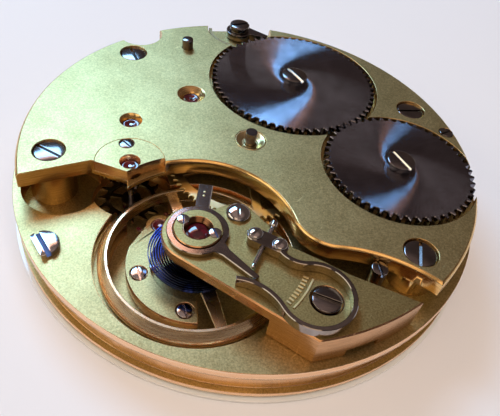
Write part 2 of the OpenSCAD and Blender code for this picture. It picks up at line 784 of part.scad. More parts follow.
// Jewels and bush
module upper_jewels() {
    color("crimson") {
        for (p = [third, fourth, escape]) jewel(p, jewel_r, upper_jewel_top - jewel_t, upper_jewel_top);
        jewel(staff, jewel_r, cock_jewel_top - jewel_t, cock_jewel_top);
        jewel(pallet, jewel_r, pallet_bridge_z, pallet_bridge_top);
    }
}
module lower_jewels() {
    color("crimson") {
        for (p = [third, fourth]) jewel(p, jewel_r, train_jewel_z, train_jewel_top);
        for (p = [escape, pallet, staff]) jewel(p, jewel_r, floor_z - jewel_t, floor_z);
    }
}
module centre_bush() {
    color("gold") difference() {
        rod(centre, bush_r, bridge_bottom, bridge_top);
        rod(centre, centre_post_r + run, 0, bridge_top + eps);
        at(centre, bridge_top - bush_sink)
            cylinder(r1 = centre_post_r + wheel_gap, r2 = bush_sink_r, h = bush_sink + eps);
    }
}

// End-piece over the balance pivot
cap_jewel_r = 0.85;
cap_jewel_t = 0.3;
cap_rim = 0.2;
module cap_plate() {
    top = cock_top + cap_t;
    color("darkkhaki") difference() {
        rod(staff, cap_r, cock_top, top);
        rod(staff, cap_jewel_r + seat, 0, top);
        at(staff, top - cap_rim)
            cylinder(r1 = cap_jewel_r + seat, r2 = cap_jewel_r + cap_rim, h = cap_rim + eps);
        for (a = cap_screw_a) {
            rod(staff + pol(cap_screw_d, a), cap_shank_r + seat, 0, top + eps);
            rod(staff + pol(cap_screw_d, a), cap_head_r + run, top - cap_head_sunk, top + eps);
        }
    }
}
module cap_jewel() {
    color("darkred") at(staff, cock_top + end_gap) difference() {
        cylinder(r = cap_jewel_r, h = cap_jewel_t);
        translate([0, 0, -eps]) cylinder(r = pivot_room_r, h = cap_jewel_t / 3 + eps);
    }
}
module cap_screws() {
    color("silver") for (a = cap_screw_a)
        screw(staff + pol(cap_screw_d, a), cock_top + cap_t - cap_head_sunk, cap_head_r, cap_head_h,
            cap_shank_r, cap_t - cap_head_sunk + cap_thread - end_gap, a + 130, fine_slot_deep);
}

// Swan-neck regulator
neck_a0 = 105;
neck_a1 = -145;
neck_arm_r = 2.2;
neck_arm_turn = 78;
neck_tip_r = 4.1;
neck_tip_turn = 60;
neck_lap = 1;
neck_arm_c = neck_c + pol(neck_r + neck_arm_r, neck_a0);
neck_tip_c = neck_c + pol(neck_r + neck_tip_r, neck_a1);
bracket_r = 0.7;
bracket_a = dir(neck_screw_at[0], neck_screw_at[1]) + 90;
rod_start = 0.37;
rod_head_r = 0.36;
rod_head_l = 0.5;
module bent_strip(c, r, a0, a1) {
    half = neck_w / 2;
    polygon(concat(arc(c, r + half, a0, a1, 24), arc(c, r - half, a1, a0, 24)));
}
module swan_neck_outline() {
    bent_strip(neck_c, neck_r, neck_a0, neck_a1);
    bent_strip(neck_arm_c, neck_arm_r, neck_a0 + 180 - neck_arm_turn, neck_a0 + 180 + neck_lap);
    bent_strip(neck_tip_c, neck_tip_r, neck_a1 + 180 - neck_lap, neck_a1 + 180 + neck_tip_turn);
}
module bracket_outline() {
    for (p = neck_screw_at) translate(p) circle(bracket_r);
    polygon([neck_screw_at[0] + pol(bracket_r, bracket_a), neck_screw_at[0] - pol(bracket_r, bracket_a),
        neck_screw_at[1] - pol(bracket_r, bracket_a), neck_screw_at[1] + pol(bracket_r, bracket_a)]);
}
module along_rod(x) {
    at(rod_touch, rod_z) rotate([0, 0, rod_a]) translate([x, 0, 0]) rotate([0, 90, 0]) children();
}
module swan_neck_spring() {
    color("slategray") difference() {
        union() {
            at(centre, cock_top) linear_extrude(neck_h) swan_neck_outline();
            at(centre, cock_top) linear_extrude(bracket_h) bracket_outline();
        }
        for (p = neck_screw_at) rod(p, neck_shank_r + seat, 0, cock_top + 2 * bracket_h);
        along_rod(rod_start) cylinder(r = rod_r + run, h = rod_len);
    }
}
module swan_neck_screws() {
    color("silver") for (p = neck_screw_at)
        screw(p, cock_top + bracket_h, neck_head_r, neck_head_h, neck_shank_r,
            bracket_h + neck_thread - end_gap, 60, fine_slot_deep);
}
module micrometer_screw() {
    color("silver") {
        along_rod(rod_start) cylinder(r = rod_r, h = rod_len);
        along_rod(rod_start + rod_len - rod_head_l) cylinder(r = rod_head_r, h = rod_head_l);
    }
}

// Hairspring: one strip that winds inwards from the stud, past the curb pins, to the collet
spring_start = 0.1;
spring_r0 = collet_r + spring_start;
spring_pitch = (spring_r - spring_r0) / spring_turns;
spring_steps = 24;
spring_way = -1;
function spring_point(i) =
    spiral_point(spring_r0, spring_pitch, spring_turns, stud_a, spring_way, 0, i, spring_steps);
echo(hairspring_least_gap = min([for (i = [0 : (spring_turns - 1) * spring_steps])
    norm(spring_point(i + spring_steps) - spring_point(i))]) - spring_t);
stud_play = 0.04;
module hairspring() {
    color("royalblue") at(staff, spring_z) linear_extrude(spring_h)
        polygon(strip(spring_r0, spring_pitch, spring_turns, stud_a, spring_way, spring_t, spring_steps));
}
module hairspring_stud() {
    half = spring_t / 2 + stud_play;
    color("silver") difference() {
        rod(stud_at, stud_r, collet_z, cock_top - stud_shank - shoulder_gap);
        ring(staff, spring_r + half, spring_r - half, spring_z - stud_play, spring_z + spring_h + stud_play);
    }
}
module stud_screw() {
    color("silver") screw(stud_at, cock_top, stud_head_r, stud_head_h, stud_shank_r, stud_shank, 100,
        fine_slot_deep);
}

// Regulator index: a ring round the end-piece, its pointer, and a tail with the two curb pins
curb_pin_r = 0.1;
curb_play = 0.06;
curb_a = 93;
curb_r = spring_r - spring_pitch * (curb_a - stud_a) / 360;
curb_off = spring_t / 2 + curb_play + curb_pin_r;
index_z = cock_top + seat;
pointer_w = [1.5, 0.84, 0.5];
pointer_neck = 0.6;
tail_w = 1.2;
tail_past = 1.1;
module index_outline() {
    neck = index_r + pointer_neck;
    difference() {
        union() {
            circle(index_r);
            rotate(index_a) polygon([[0, -pointer_w[0] / 2], [neck, -pointer_w[1] / 2],
                [index_reach, -pointer_w[2] / 2], [index_reach, pointer_w[2] / 2], [neck, pointer_w[1] / 2],
                [0, pointer_w[0] / 2]]);
            rotate(curb_a) translate([0, -tail_w / 2]) square([spring_r + tail_past, tail_w]);
        }
        circle(cap_r + run);
    }
}
module regulator_index() {
    color("slategray") {
        at(staff, index_z) linear_extrude(index_t) index_outline();
        for (s = [-1, 1])
            rod(staff + pol(curb_r + s * curb_off, curb_a), curb_pin_r, spring_z, index_z + eps);
    }
}

// Winding
ratchet_head_r = 1.35;
ratchet_head_h = 0.65;
ratchet_shank_r = 0.4;
ratchet_shank = 1.2;
crown_head_h = 0.6;
click_t = 0.75;
click_hub_r = 1.5;
click_stand = 0.12;
click_beak_turn = 14;
click_head_h = 0.7;
click_in = tip(ratchet_n, winding_m) + click_stand;
click_beak = barrel + pol(click_in, dir(barrel, click_at) - click_beak_turn);
click_spring_r = [3.25, 3.6];
click_spring_a = [188, 264];
click_spring_h = 0.7;
clutch_n = 14;
clutch_teeth_l = 1.1;
clutch_waist_r = 0.95;
clutch_collar_l = 1.2;
clutch_square_w = 1.1;
module square_bar(w, h) { translate([-w / 2, -w / 2, 0]) cube([w, w, h]); }
module ratchet_wheel() {
    color("dimgray") at(barrel, winding_z) difference() {
        gear(ratchet_n, winding_m, winding_t, 0, tooth_at(barrel, crown));
        translate([0, 0, -eps]) square_bar(square_w + 2 * seat, winding_t + 2 * eps);
    }
}
module ratchet_screw() {
    color("dimgray") screw(barrel, winding_top, ratchet_head_r, ratchet_head_h, ratchet_shank_r,
        ratchet_shank, -48, slot_deep);
}
module barrel_arbor() {
    color("silver") difference() {
        union() {
            rod(barrel, barrel_arbor_r, barrel_arbor_z, winding_floor);
            rod(barrel, barrel_hub_r, barrel_z + barrel_wall + end_gap, barrel_top - barrel_wall - end_gap);
            at(barrel, winding_floor - eps) square_bar(square_w, winding_top - winding_floor);
        }
        rod(barrel, ratchet_shank_r + seat, winding_top - ratchet_shank - head_gap, winding_top + eps);
    }
}
module crown_wheel() {
    color("dimgray") at(crown, winding_z)
        gear(crown_n, winding_m, winding_t, crown_post_r + run, gap_at(crown, barrel, crown_n));
}
module crown_screw() {
    z = winding_top + run;
    color("dimgray") screw(crown, z, crown_head_r, crown_head_h, crown_post_r,
        z - winding_floor + winding_thread - head_gap, -55, slot_deep);
}
module click() {
    reach = norm(click_beak - click_at);
    color("sienna") difference() {
        union() {
            rod(click_at, click_hub_r, winding_z, winding_z + click_t);
            at(click_at, winding_z) rotate(dir(click_at, click_beak)) linear_extrude(click_t)
                polygon([[0.5, 1.2], [reach, 0.55], [reach, 0.05], [1.4, -0.35], [0.5, -0.9]]);
        }
        rod(barrel, click_in, 0, winding_top + eps);
        rod(click_at, click_post_r + run, 0, winding_top + eps);
    }
}
module click_screw() {
    z = winding_z + click_t + end_gap;
    color("dimgray") screw(click_at, z, click_head_r, click_head_h, click_post_r,
        z - winding_floor + winding_thread - head_gap, 30, slot_deep);
}
module click_spring() {
    color("goldenrod") at(click_at, winding_floor) linear_extrude(click_spring_h)
        polygon(concat(arc([0, 0], click_spring_r[1], click_spring_a[0], click_spring_a[1], 12),
            arc([0, 0], click_spring_r[0], click_spring_a[1], click_spring_a[0], 12)));
}
// Module of a gear from its tip radius
function tip_module(n, r) = 2 * r / (n + 2 * addendum);
module winding_pinion() {
    color("silver") translate([winding_pinion_x, 0, stem_z]) rotate([0, 90, 0])
        gear(winding_pinion_n, tip_module(winding_pinion_n, winding_pinion_r), winding_pinion_l, stem_r, 0);
}
module sliding_clutch() {
    l = winding_pinion_x - clutch_x - head_gap;
    color("silver") translate([clutch_x, 0, stem_z]) rotate([0, 90, 0]) difference() {
        union() {
            gear(clutch_n, tip_module(clutch_n, clutch_r), clutch_teeth_l, 0, 0);
            cylinder(r = clutch_waist_r, h = l);
            translate([0, 0, l - clutch_collar_l]) cylinder(r = clutch_r, h = clutch_collar_l);
        }
        translate([0, 0, -eps]) square_bar(clutch_square_w, l + 2 * eps);
    }
}

// Barrel
barrel_tooth_down = 0.7;
barrel_tooth_z = plate_top - barrel_tooth_down;
barrel_tooth_t = 0.6;
module barrel_drum() {
    color("gold") at(barrel, 0) difference() {
        union() {
            rod([0, 0], drum_r, barrel_z, barrel_top);
            translate([0, 0, barrel_tooth_z])
                gear(barrel_n, barrel_m, barrel_tooth_t, 0, tooth_at(barrel, centre));
        }
        rod([0, 0], drum_r - barrel_wall, barrel_z + barrel_wall, barrel_top + eps);
        rod([0, 0], barrel_arbor_r + run, 0, barrel_top);
    }
}
module barrel_cover() {
    color("gold")
        ring(barrel, drum_r - barrel_wall - seat, barrel_arbor_r + run,
            barrel_top - barrel_wall, barrel_top);
}
mainspring_turns = 9;
mainspring_t = 0.22;
mainspring_gap = 0.1;
mainspring_gap_in = 0.3;
mainspring_r0 = barrel_hub_r + mainspring_gap_in;
mainspring_gap_out = 0.25;
mainspring_r1 = drum_r - barrel_wall - mainspring_gap_out;
module mainspring() {
    pitch = (mainspring_r1 - mainspring_r0) / mainspring_turns;
    color("slategray") at(barrel, barrel_z + barrel_wall + mainspring_gap)
        linear_extrude(barrel_h - 2 * barrel_wall - 2 * mainspring_gap)
            polygon(strip(mainspring_r0, pitch, mainspring_turns, 0, 1, mainspring_t, spring_steps));
}

// Going train
module centre_arbor() {
    pinion_h = centre_wheel_z - centre_pinion_z;
    color("silver") {
        rod(centre, cannon_shaft_r, dial_work_z + end_gap, motion_top + eps);
        rod(centre, centre_arbor_r, motion_top, centre_pinion_z + eps);
        at(centre, centre_pinion_z)
            gear(centre_pinion_n, barrel_m, pinion_h, 0, gap_at(centre, barrel, centre_pinion_n));
        rod(centre, centre_seat_r, centre_wheel_z - eps, centre_wheel_z + wheel_t + head_gap);
        rod(centre, centre_post_r, centre_wheel_z, bridge_top + centre_post_h);
    }
}
centre_rim_w = 0.75;
centre_hub_r = 2.1;
centre_arm_w = 0.8;
module centre_wheel() {
    color("gold") spoked_wheel(centre, centre_wheel_z, centre_n, centre_m, centre_seat_r + seat,
        tooth_at(centre, third), wheel_arms, centre_rim_w, centre_hub_r, centre_arm_w);
}
third_pinion_down = 0.12;
module third_arbor() {
    color("silver") {
        pivoted_arbor(third, arbor_r, train_jewel_top + shoulder_gap, third_wheel_z + wheel_t + end_gap,
            train_jewel_z + end_gap, upper_jewel_top - end_gap);
        at(third, centre_wheel_z - third_pinion_down) gear(third_pinion_n, centre_m,
            third_wheel_z - centre_wheel_z, 0, gap_at(third, centre, third_pinion_n));
    }
}
third_rim_w = 0.6;
third_hub_r = 1.4;
third_arm_w = 0.6;
module third_wheel() {
    color("gold") spoked_wheel(third, third_wheel_z, third_n, third_m, arbor_r + seat,
        tooth_at(third, fourth), wheel_arms, third_rim_w, third_hub_r, third_arm_w);
}
fourth_pinion_down = 0.15;
fourth_pinion_over = 0.35;
module fourth_arbor() {
    color("silver") {
        pivoted_arbor(fourth, arbor_r, train_jewel_top + shoulder_gap, bridge_bottom + pinion_gap - slot_gap,
            dial_work_z + end_gap, upper_jewel_top - end_gap);
        at(fourth, third_wheel_z - fourth_pinion_down) gear(fourth_pinion_n, third_m,
            wheel_t + fourth_pinion_over, 0, gap_at(fourth, third, fourth_pinion_n));
    }
}
fourth_rim_w = 0.5;
fourth_hub_r = 1.2;
fourth_arm_w = 0.5;
module fourth_wheel() {
    color("gold") spoked_wheel(fourth, fourth_wheel_z, fourth_n, fourth_m, arbor_r + seat,
        tooth_at(fourth, escape), wheel_arms, fourth_rim_w, fourth_hub_r, fourth_arm_w);
}
escape_pinion_over = 0.3;
module escape_arbor() {
    color("silver") {
        pivoted_arbor(escape, fine_arbor_r, floor_z + shoulder_gap, escape_cock_z + head_gap,
            floor_z - jewel_t + end_gap, upper_jewel_top - end_gap);
        at(escape, fourth_wheel_z - escape_pinion_over / 3) gear(escape_pinion_n, fourth_m,
            wheel_t + escape_pinion_over, 0, gap_at(escape, fourth, escape_pinion_n));
    }
}
// Club-toothed escape wheel
club_root = 0.75;
escape_rim = 1.15;
escape_hub_r = 0.9;
escape_arm_w = 0.4;
function club(a) = [pol(escape_r - club_root, a - 9), pol(escape_r - 0.12, a - 1.5), pol(escape_r, a + 2.5),
    pol(escape_r - 0.35, a + 2), pol(escape_r - club_root, a + 4)];
module escape_wheel() {
    color("silver") at(escape, escape_wheel_z) difference() {
        linear_extrude(wheel_t) polygon([for (i = [0 : escape_n - 1]) each club(360 * i / escape_n)]);
        crossings(escape_hub_r, escape_r - escape_rim, 4, escape_arm_w, wheel_t);
        translate([0, 0, -eps]) cylinder(r = fine_arbor_r + seat, h = wheel_t + 2 * eps);
    }
}

// Lever: fork, arbor and two stones, drawn along the line from its arbor to the staff
stone_clear = 0.35;
stone_a = 24;
stone = [0.38, 0.32, 0.26];
fork_hub_r = 0.75;
fork_gap = 0.3;
fork_reach = pallet_to_staff - impulse_at - fork_gap;
fork_notch_w = 0.44;
fork_notch_l = 0.5;
fork_horn_w = 1.2;
lever_w = 0.5;
stone_d = norm(pallet - escape);
module at_pallet(z) { at(pallet, z) rotate(pallet_dir) children(); }
function stone_at(s) = [-stone_d, 0] + pol(escape_r + stone_clear, s * stone_a);
module lever_arms() {
    for (s = [-1, 1]) polygon([[-0.1, 0.2 * s], stone_at(s) + [0.55, 0.1 * s], stone_at(s) + [0.5, 0.5 * s],
        [0.3, 0.5 * s]]);
}
module pallet_fork() {
    horn = fork_reach - fork_notch_l;
    color("silver") at_pallet(fork_z) difference() {
        union() {
            cylinder(r = fork_hub_r, h = fork_t);
            translate([0, -lever_w / 2, 0]) cube([horn, lever_w, fork_t]);
            linear_extrude(fork_t) polygon([[horn - fork_notch_l, -lever_w / 2],
                [fork_reach, -fork_horn_w / 2], [fork_reach, fork_horn_w / 2],
                [horn - fork_notch_l, lever_w / 2]]);
            linear_extrude(fork_t) lever_arms();
        }
        translate([0, 0, -eps]) cylinder(r = fine_arbor_r + seat, h = fork_t + 2 * eps);
        translate([horn, -fork_notch_w / 2, -eps]) cube([2 * fork_notch_l, fork_notch_w, fork_t + 2 * eps]);
    }
}
module pallet_arbor() {
    color("silver") pivoted_arbor(pallet, fine_arbor_r, floor_z + shoulder_gap,
        pallet_bridge_z - shoulder_gap, floor_z - jewel_t + end_gap, pallet_bridge_top);
}
module pallet_stones() {
    color("crimson") at_pallet(fork_z + seat) for (s = [-1, 1])
        translate(stone_at(s) + [0.15, 0.12 * s - stone[1] / 2]) cube(stone);
}

// Balance
balance_hub_r = 1.3;
balance_arm_a = 118;
balance_arm_w = 1.1;
balance_slope_w = 0.65;
balance_slope_h = 0.75;
arm_into_rim = 0.2;
staff_seat_r = 0.9;
staff_seat_h = 0.2;
roller_t = 0.25;
impulse_r = 0.16;
module balance_wheel() {
    r_in = balance_r - balance_rim_w;
    color("gold") at(staff, 0) {
        difference() {
            union() {
                rod(centre, balance_r, balance_z, balance_top - balance_slope_h);
                translate([0, 0, balance_top - balance_slope_h])
                    cylinder(r1 = balance_r, r2 = balance_r - balance_slope_w, h = balance_slope_h);
            }
            rod(centre, r_in, balance_z - eps, balance_top + eps);
        }
        translate([0, 0, arm_z]) linear_extrude(arm_t) difference() {
            union() {
                circle(balance_hub_r);
                for (a = [balance_arm_a, balance_arm_a + 180])
                    rotate(a) translate([0, -balance_arm_w / 2])
                        square([r_in + arm_into_rim, balance_arm_w]);
            }
            circle(staff_r + seat);
        }
    }
}
module balance_staff() {
    color("silver") {
        pivoted_arbor(staff, staff_r, fork_z - arbor_room, cock_bottom - slot_gap,
            floor_z - jewel_t + end_gap, cock_jewel_top - seat);
        rod(staff, staff_seat_r, arm_z - staff_seat_h, arm_z);
    }
}
module roller() {
    z = pallet_bridge_z + end_gap;
    color("crimson") {
        ring(staff, roller_r, staff_r + seat, z, z + roller_t);
        rod(staff + pol(impulse_at, dir(staff, pallet)), impulse_r, fork_z - end_gap, z + eps);
    }
}
module collet() {
    color("gold") ring(staff, collet_r, staff_r + seat, collet_z, collet_z + collet_h);
}

// Dial work
motion_wheel_t = 0.3;
motion_wheel_down = 0.4;
motion_wheel_z = motion_top - motion_wheel_down;
minute_pinion_up = 0.15;
hour_wheel_up = 0.2;
hour_pipe_up = 0.5;
module cannon_pinion() {
    color("silver") {
        ring(centre, cannon_pipe_r, cannon_shaft_r + seat, dial_work_z, motion_top - end_gap);
        at(centre, motion_wheel_z)
            gear(cannon_n, cannon_m, motion_wheel_t, cannon_shaft_r + seat, tooth_at(centre, minute));
    }
}
module minute_wheel() {
    z = plate_bottom + minute_pinion_up;
    color("gold") {
        at(minute, motion_wheel_z)
            gear(minute_n, cannon_m, motion_wheel_t, minute_post_r + run, gap_at(minute, centre, minute_n));
        at(minute, z)
            gear(minute_pinion_n, hour_m, motion_wheel_z - z + eps, minute_post_r + run,
                tooth_at(minute, centre));
    }
}
module hour_wheel() {
    color("gold") {
        ring(centre, hour_pipe_r, cannon_pipe_r + run, dial_work_z, plate_bottom + hour_pipe_up);
        at(centre, plate_bottom + hour_wheel_up)
            gear(hour_n, hour_m, motion_wheel_t, hour_pipe_r - eps, gap_at(centre, minute, hour_n));
    }
}

dial();
main_plate();
train_bridge();
escape_cock();
balance_cock();
pallet_bridge();
bridge_screws();
escape_cock_screw();
cock_screw();
pallet_bridge_screws();
dog_screws();
dial_screw();
detent_screw();
rim_pin();
upper_jewels();
lower_jewels();
centre_bush();
cap_plate();
cap_jewel();
cap_screws();
swan_neck_spring();
swan_neck_screws();
hairspring();
hairspring_stud();
stud_screw();
click_screw();
click_spring();
crown_screw();
barrel_drum();
barrel_cover();
mainspring();
barrel_arbor();
ratchet_wheel();
ratchet_screw();
crown_wheel();
click();
centre_arbor();
centre_wheel();
cannon_pinion();
third_arbor();
third_wheel();
fourth_arbor();
fourth_wheel();
escape_arbor();
escape_wheel();
pallet_fork();
pallet_arbor();
pallet_stones();
balance_wheel();
balance_staff();
roller();
collet();
regulator_index();
micrometer_screw();
minute_wheel();
hour_wheel();
winding_pinion();
sliding_clutch();
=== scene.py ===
"""Looks of a pocket watch movement: gilt plates, steel winding wheels, a swan-neck regulator and a dial."""

import json
import math

import bpy
from mathutils import Matrix, Vector


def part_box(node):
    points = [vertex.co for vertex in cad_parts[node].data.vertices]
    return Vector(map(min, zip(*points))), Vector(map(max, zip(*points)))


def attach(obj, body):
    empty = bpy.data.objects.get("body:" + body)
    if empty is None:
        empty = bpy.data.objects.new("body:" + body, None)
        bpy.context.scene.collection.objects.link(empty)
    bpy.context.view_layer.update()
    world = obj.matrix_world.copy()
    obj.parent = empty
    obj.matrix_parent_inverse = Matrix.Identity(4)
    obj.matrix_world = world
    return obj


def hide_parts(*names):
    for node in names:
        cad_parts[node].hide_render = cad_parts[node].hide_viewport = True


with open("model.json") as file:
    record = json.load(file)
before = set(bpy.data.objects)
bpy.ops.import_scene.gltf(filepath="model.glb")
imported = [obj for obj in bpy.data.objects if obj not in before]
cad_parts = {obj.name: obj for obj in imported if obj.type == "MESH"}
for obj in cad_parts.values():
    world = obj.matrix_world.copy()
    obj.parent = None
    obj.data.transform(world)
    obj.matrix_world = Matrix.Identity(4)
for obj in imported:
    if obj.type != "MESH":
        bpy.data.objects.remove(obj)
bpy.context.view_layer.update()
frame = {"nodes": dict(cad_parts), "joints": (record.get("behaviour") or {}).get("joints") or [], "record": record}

# Pieces are drawn in millimetres and brought to metres when they are settled
MM = 0.001
# Points closer than this are one point, in a drawn piece's millimetres and in a solid's metres
WELD_DRAWN = 1e-5
WELD_SOLID = 1e-7
# How far a cutting tool runs past the face that it cuts
PAST = 0.1
# Edges that turn by more than this many degrees are broken, on a drawn piece and on a kept solid
SHARP_DRAWN = 40
SHARP_SOLID = 30
RECORD = frame["record"]
BODY_OF = {node: body for body, nodes in RECORD["behaviour"]["bodies"].items() for node in nodes}
SLOT_OF = {part["node"]: part["material_slot"] for part in RECORD["subparts"]}


# Places on the plan, from the frame


def pivot(joint):
    """Where a joint's upright axis stands on the plan."""
    found = next(j for j in frame["joints"] if j["name"] == joint)
    return Vector(found["pos_m"][:2]) / MM


def low(node):
    """A node's lowest corner, in millimetres."""
    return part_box(node)[0] / MM


def high(node):
    """A node's highest corner, in millimetres."""
    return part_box(node)[1] / MM


def plan_centre(box):
    """The middle of a box on the plan."""
    return ((box[0] + box[1]) / 2).xy


def half_across(box):
    """Half the width of a box along X."""
    return (box[1].x - box[0].x) / 2


def middle(node):
    """The middle of a node on the plan."""
    return plan_centre((low(node), high(node)))


def half_width(node):
    """A round node's outer radius."""
    return half_across((low(node), high(node)))


def polar(centre, radius, degrees):
    """The plan point at a radius and a direction from a centre."""
    turn = math.radians(degrees)
    return Vector((centre[0] + radius * math.cos(turn), centre[1] + radius * math.sin(turn)))


def heading(start, end):
    """The direction from one plan point to another, in degrees."""
    return math.degrees(math.atan2(end[1] - start[1], end[0] - start[0]))


def arc(centre, radius, start, end, steps):
    """Plan points along an arc between two directions."""
    return [polar(centre, radius, start + (end - start) * i / steps) for i in range(steps + 1)]


CENTRE = Vector((0, 0))
BARREL = pivot("ratchet_spin")
CROWN = pivot("crown_spin")
THIRD = pivot("third_spin")
FOURTH = pivot("fourth_spin")
ESCAPE = pivot("escape_spin")
STAFF = pivot("balance_swing")


# Modelling: each helper works on the one piece in hand


def pick(piece):
    """Selects one piece alone, because an operator acts on all that is selected."""
    bpy.ops.object.select_all(action="DESELECT")
    piece.select_set(True)
    bpy.context.view_layer.objects.active = piece
    return piece


def edit_all(piece):
    """Opens a piece in edit mode with all of it selected."""
    pick(piece)
    bpy.ops.object.mode_set(mode="EDIT")
    bpy.ops.mesh.select_all(action="SELECT")


def mend(piece):
    """Merges doubles and turns every face outwards."""
    edit_all(piece)
    bpy.ops.mesh.remove_doubles(threshold=WELD_DRAWN)
    bpy.ops.mesh.normals_make_consistent(inside=False)
    bpy.ops.object.mode_set(mode="OBJECT")
    return piece


def drawn(name, loops, closed=True, flat=True):
    """A curve through points, one straight-sided loop or line for each list."""
    curve = bpy.data.curves.new(name, "CURVE")
    curve.dimensions = "2D" if flat else "3D"
    for loop in loops:
        spline = curve.splines.new("POLY")
        spline.points.add(len(loop) - 1)
        for point, place in zip(spline.points, loop):
            point.co = (*place, 0, 1) if flat else (*place, 1)
        spline.use_cyclic_u = closed
    piece = bpy.data.objects.new(name, curve)
    bpy.context.collection.objects.link(piece)
    return piece


def plate(name, outline, z0, z1, chamfer=0.0, holes=()):
    """A flat piece of sheet with chamfered edges, cut to an outline with holes."""
    piece = drawn(name, [outline, *holes])
    piece.data.fill_mode = "BOTH"
    piece.data.extrude = (z1 - z0) / 2 - chamfer
    piece.data.bevel_depth = chamfer
    piece.data.bevel_resolution = 0
    piece.data.offset = -chamfer
    piece.location.z = (z0 + z1) / 2
    pick(piece)
    bpy.ops.object.convert(target="MESH")
    bpy.ops.object.transform_apply(location=True, rotation=True, scale=True)
    return mend(piece)


def turned(name, profile, at, steps=72, ring=False):
    """A piece turned on a lathe: a profile of (radius, height) points spun round an upright axis."""
    piece = drawn(name, [[(at[0] + r, at[1], z) for r, z in profile]], closed=ring, flat=False)
    pick(piece)
    bpy.ops.object.convert(target="MESH")
    edit_all(piece)
    bpy.ops.mesh.spin(steps=steps, angle=2 * math.pi, center=(at[0], at[1], 0), axis=(0, 0, 1))
    bpy.ops.object.mode_set(mode="OBJECT")
    return mend(piece)


def bar(name, start, end, width, z0, z1, chamfer=0.0):
    """A straight bar between two plan points."""
    start, end = Vector(start), Vector(end)
    side = (end - start).orthogonal().normalized() * width / 2
    return plate(name, [start + side, start - side, end - side, end + side], z0, z1, chamfer)


def cross_bar(name, at, reach, turn, width, z0, z1, chamfer=0.0):
    """A bar that runs through a plan point, as far on either side of it."""
    return bar(name, polar(at, reach, turn), polar(at, -reach, turn), width, z0, z1, chamfer)


def dome(radius, top, rise, degrees):
    """A rounded top's profile, from the axis out, in ten steps."""
    turns = [math.radians(degrees * i / 10) for i in range(11)]
    return [(radius * math.sin(t), top - rise * (1 - math.cos(t))) for t in turns]


def combine(piece, tool, operation):
    """Joins the tool to the piece, or cuts the piece with it, and takes the tool away."""
    modifier = piece.modifiers.new("combine", "BOOLEAN")
    modifier.operation = operation
    modifier.solver = "EXACT"
    modifier.object = tool
    pick(piece)
    bpy.ops.object.modifier_apply(modifier=modifier.name)
    bpy.data.objects.remove(tool)
    return mend(piece)


def cut(piece, tool):
    return combine(piece, tool, "DIFFERENCE")


def join(piece, tool):
    return combine(piece, tool, "UNION")


def sink(piece, at, profile, steps=72):
    """Cuts a turned recess: the profile runs from its rim down to the axis."""
    return cut(piece, turned("sink", [(0, profile[0][1]), *profile], at, steps))


def drill(piece, at, radius, z0, z1, steps=72):
    """Drills a straight hole between two heights and a little past both."""
    return sink(piece, at, [(radius, z1 + PAST), (radius, z0 - PAST), (0, z0 - PAST)], steps)


def round_edges(piece, width):
    """Breaks the sharp edges, as a stone and oil do."""
    modifier = piece.modifiers.new("broken edges", "BEVEL")
    modifier.width = width
    modifier.segments = 1
    modifier.limit_method = "ANGLE"
    modifier.angle_limit = math.radians(SHARP_DRAWN)
    pick(piece)
    bpy.ops.object.modifier_apply(modifier=modifier.name)
    return piece


def laid(piece, at, z, degrees):
    """Lays a piece made upright at the origin along a plan direction."""
    pick(piece)
    piece.rotation_euler = (0, math.radians(90), math.radians(degrees))
    piece.location = (at[0], at[1], z)
    bpy.ops.object.transform_apply(location=True, rotation=True, scale=True)
    return piece


def ease(node, width):
    """Breaks the edges of a solid that is kept, without touching its mesh."""
    solid = frame["nodes"][node]
    weld = solid.modifiers.new("weld", "WELD")
    weld.merge_threshold = WELD_SOLID
    bevel = solid.modifiers.new("broken edges", "BEVEL")
    bevel.width = width * MM
    bevel.segments = 2
    bevel.limit_method = "ANGLE"
    bevel.angle_limit = math.radians(SHARP_SOLID)
    bevel.harden_normals = True
    bevel.use_clamp_overlap = False


def settle(piece, finish, node=None, body=None, smooth=32):
    """Brings a piece to metres, smooths and finishes it, and hands it to the body that carries it."""
    pick(piece)
    piece.scale = (MM, MM, MM)
    bpy.ops.object.transform_apply(location=True, rotation=True, scale=True)
    bpy.ops.object.shade_smooth_by_angle(angle=math.radians(smooth))
    piece.data.materials.clear()
    piece.data.materials.append(finish)
    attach(piece, body or BODY_OF[node])
    if node:
        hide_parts(node)
    return piece


def solids(node):
    """Lowest and highest corner of each solid in a grouped node, from left to right."""
    copy = frame["nodes"][node].copy()
    copy.data = copy.data.copy()
    copy.parent = None
    copy.hide_viewport = False
    bpy.context.collection.objects.link(copy)
    copy.hide_set(False)
    edit_all(copy)
    bpy.ops.mesh.remove_doubles(threshold=WELD_SOLID)
    bpy.ops.mesh.separate(type="LOOSE")
    bpy.ops.object.mode_set(mode="OBJECT")
    boxes = []
    for part in list(bpy.context.selected_objects):
        corners = [Vector(c) / MM for c in part.bound_box]
        boxes.append([Vector(map(edge, *corners)) for edge in (min, max)])
        bpy.data.objects.remove(part)
    return sorted(boxes, key=lambda b: b[0].x)


# Finishes: arithmetic on a Value adds Math nodes, and Finish.node adds any other node


# A Mix node's two colours and its colour result, by the number of the socket
MIX_FIRST, MIX_SECOND, MIX_RESULT = 6, 7, 2


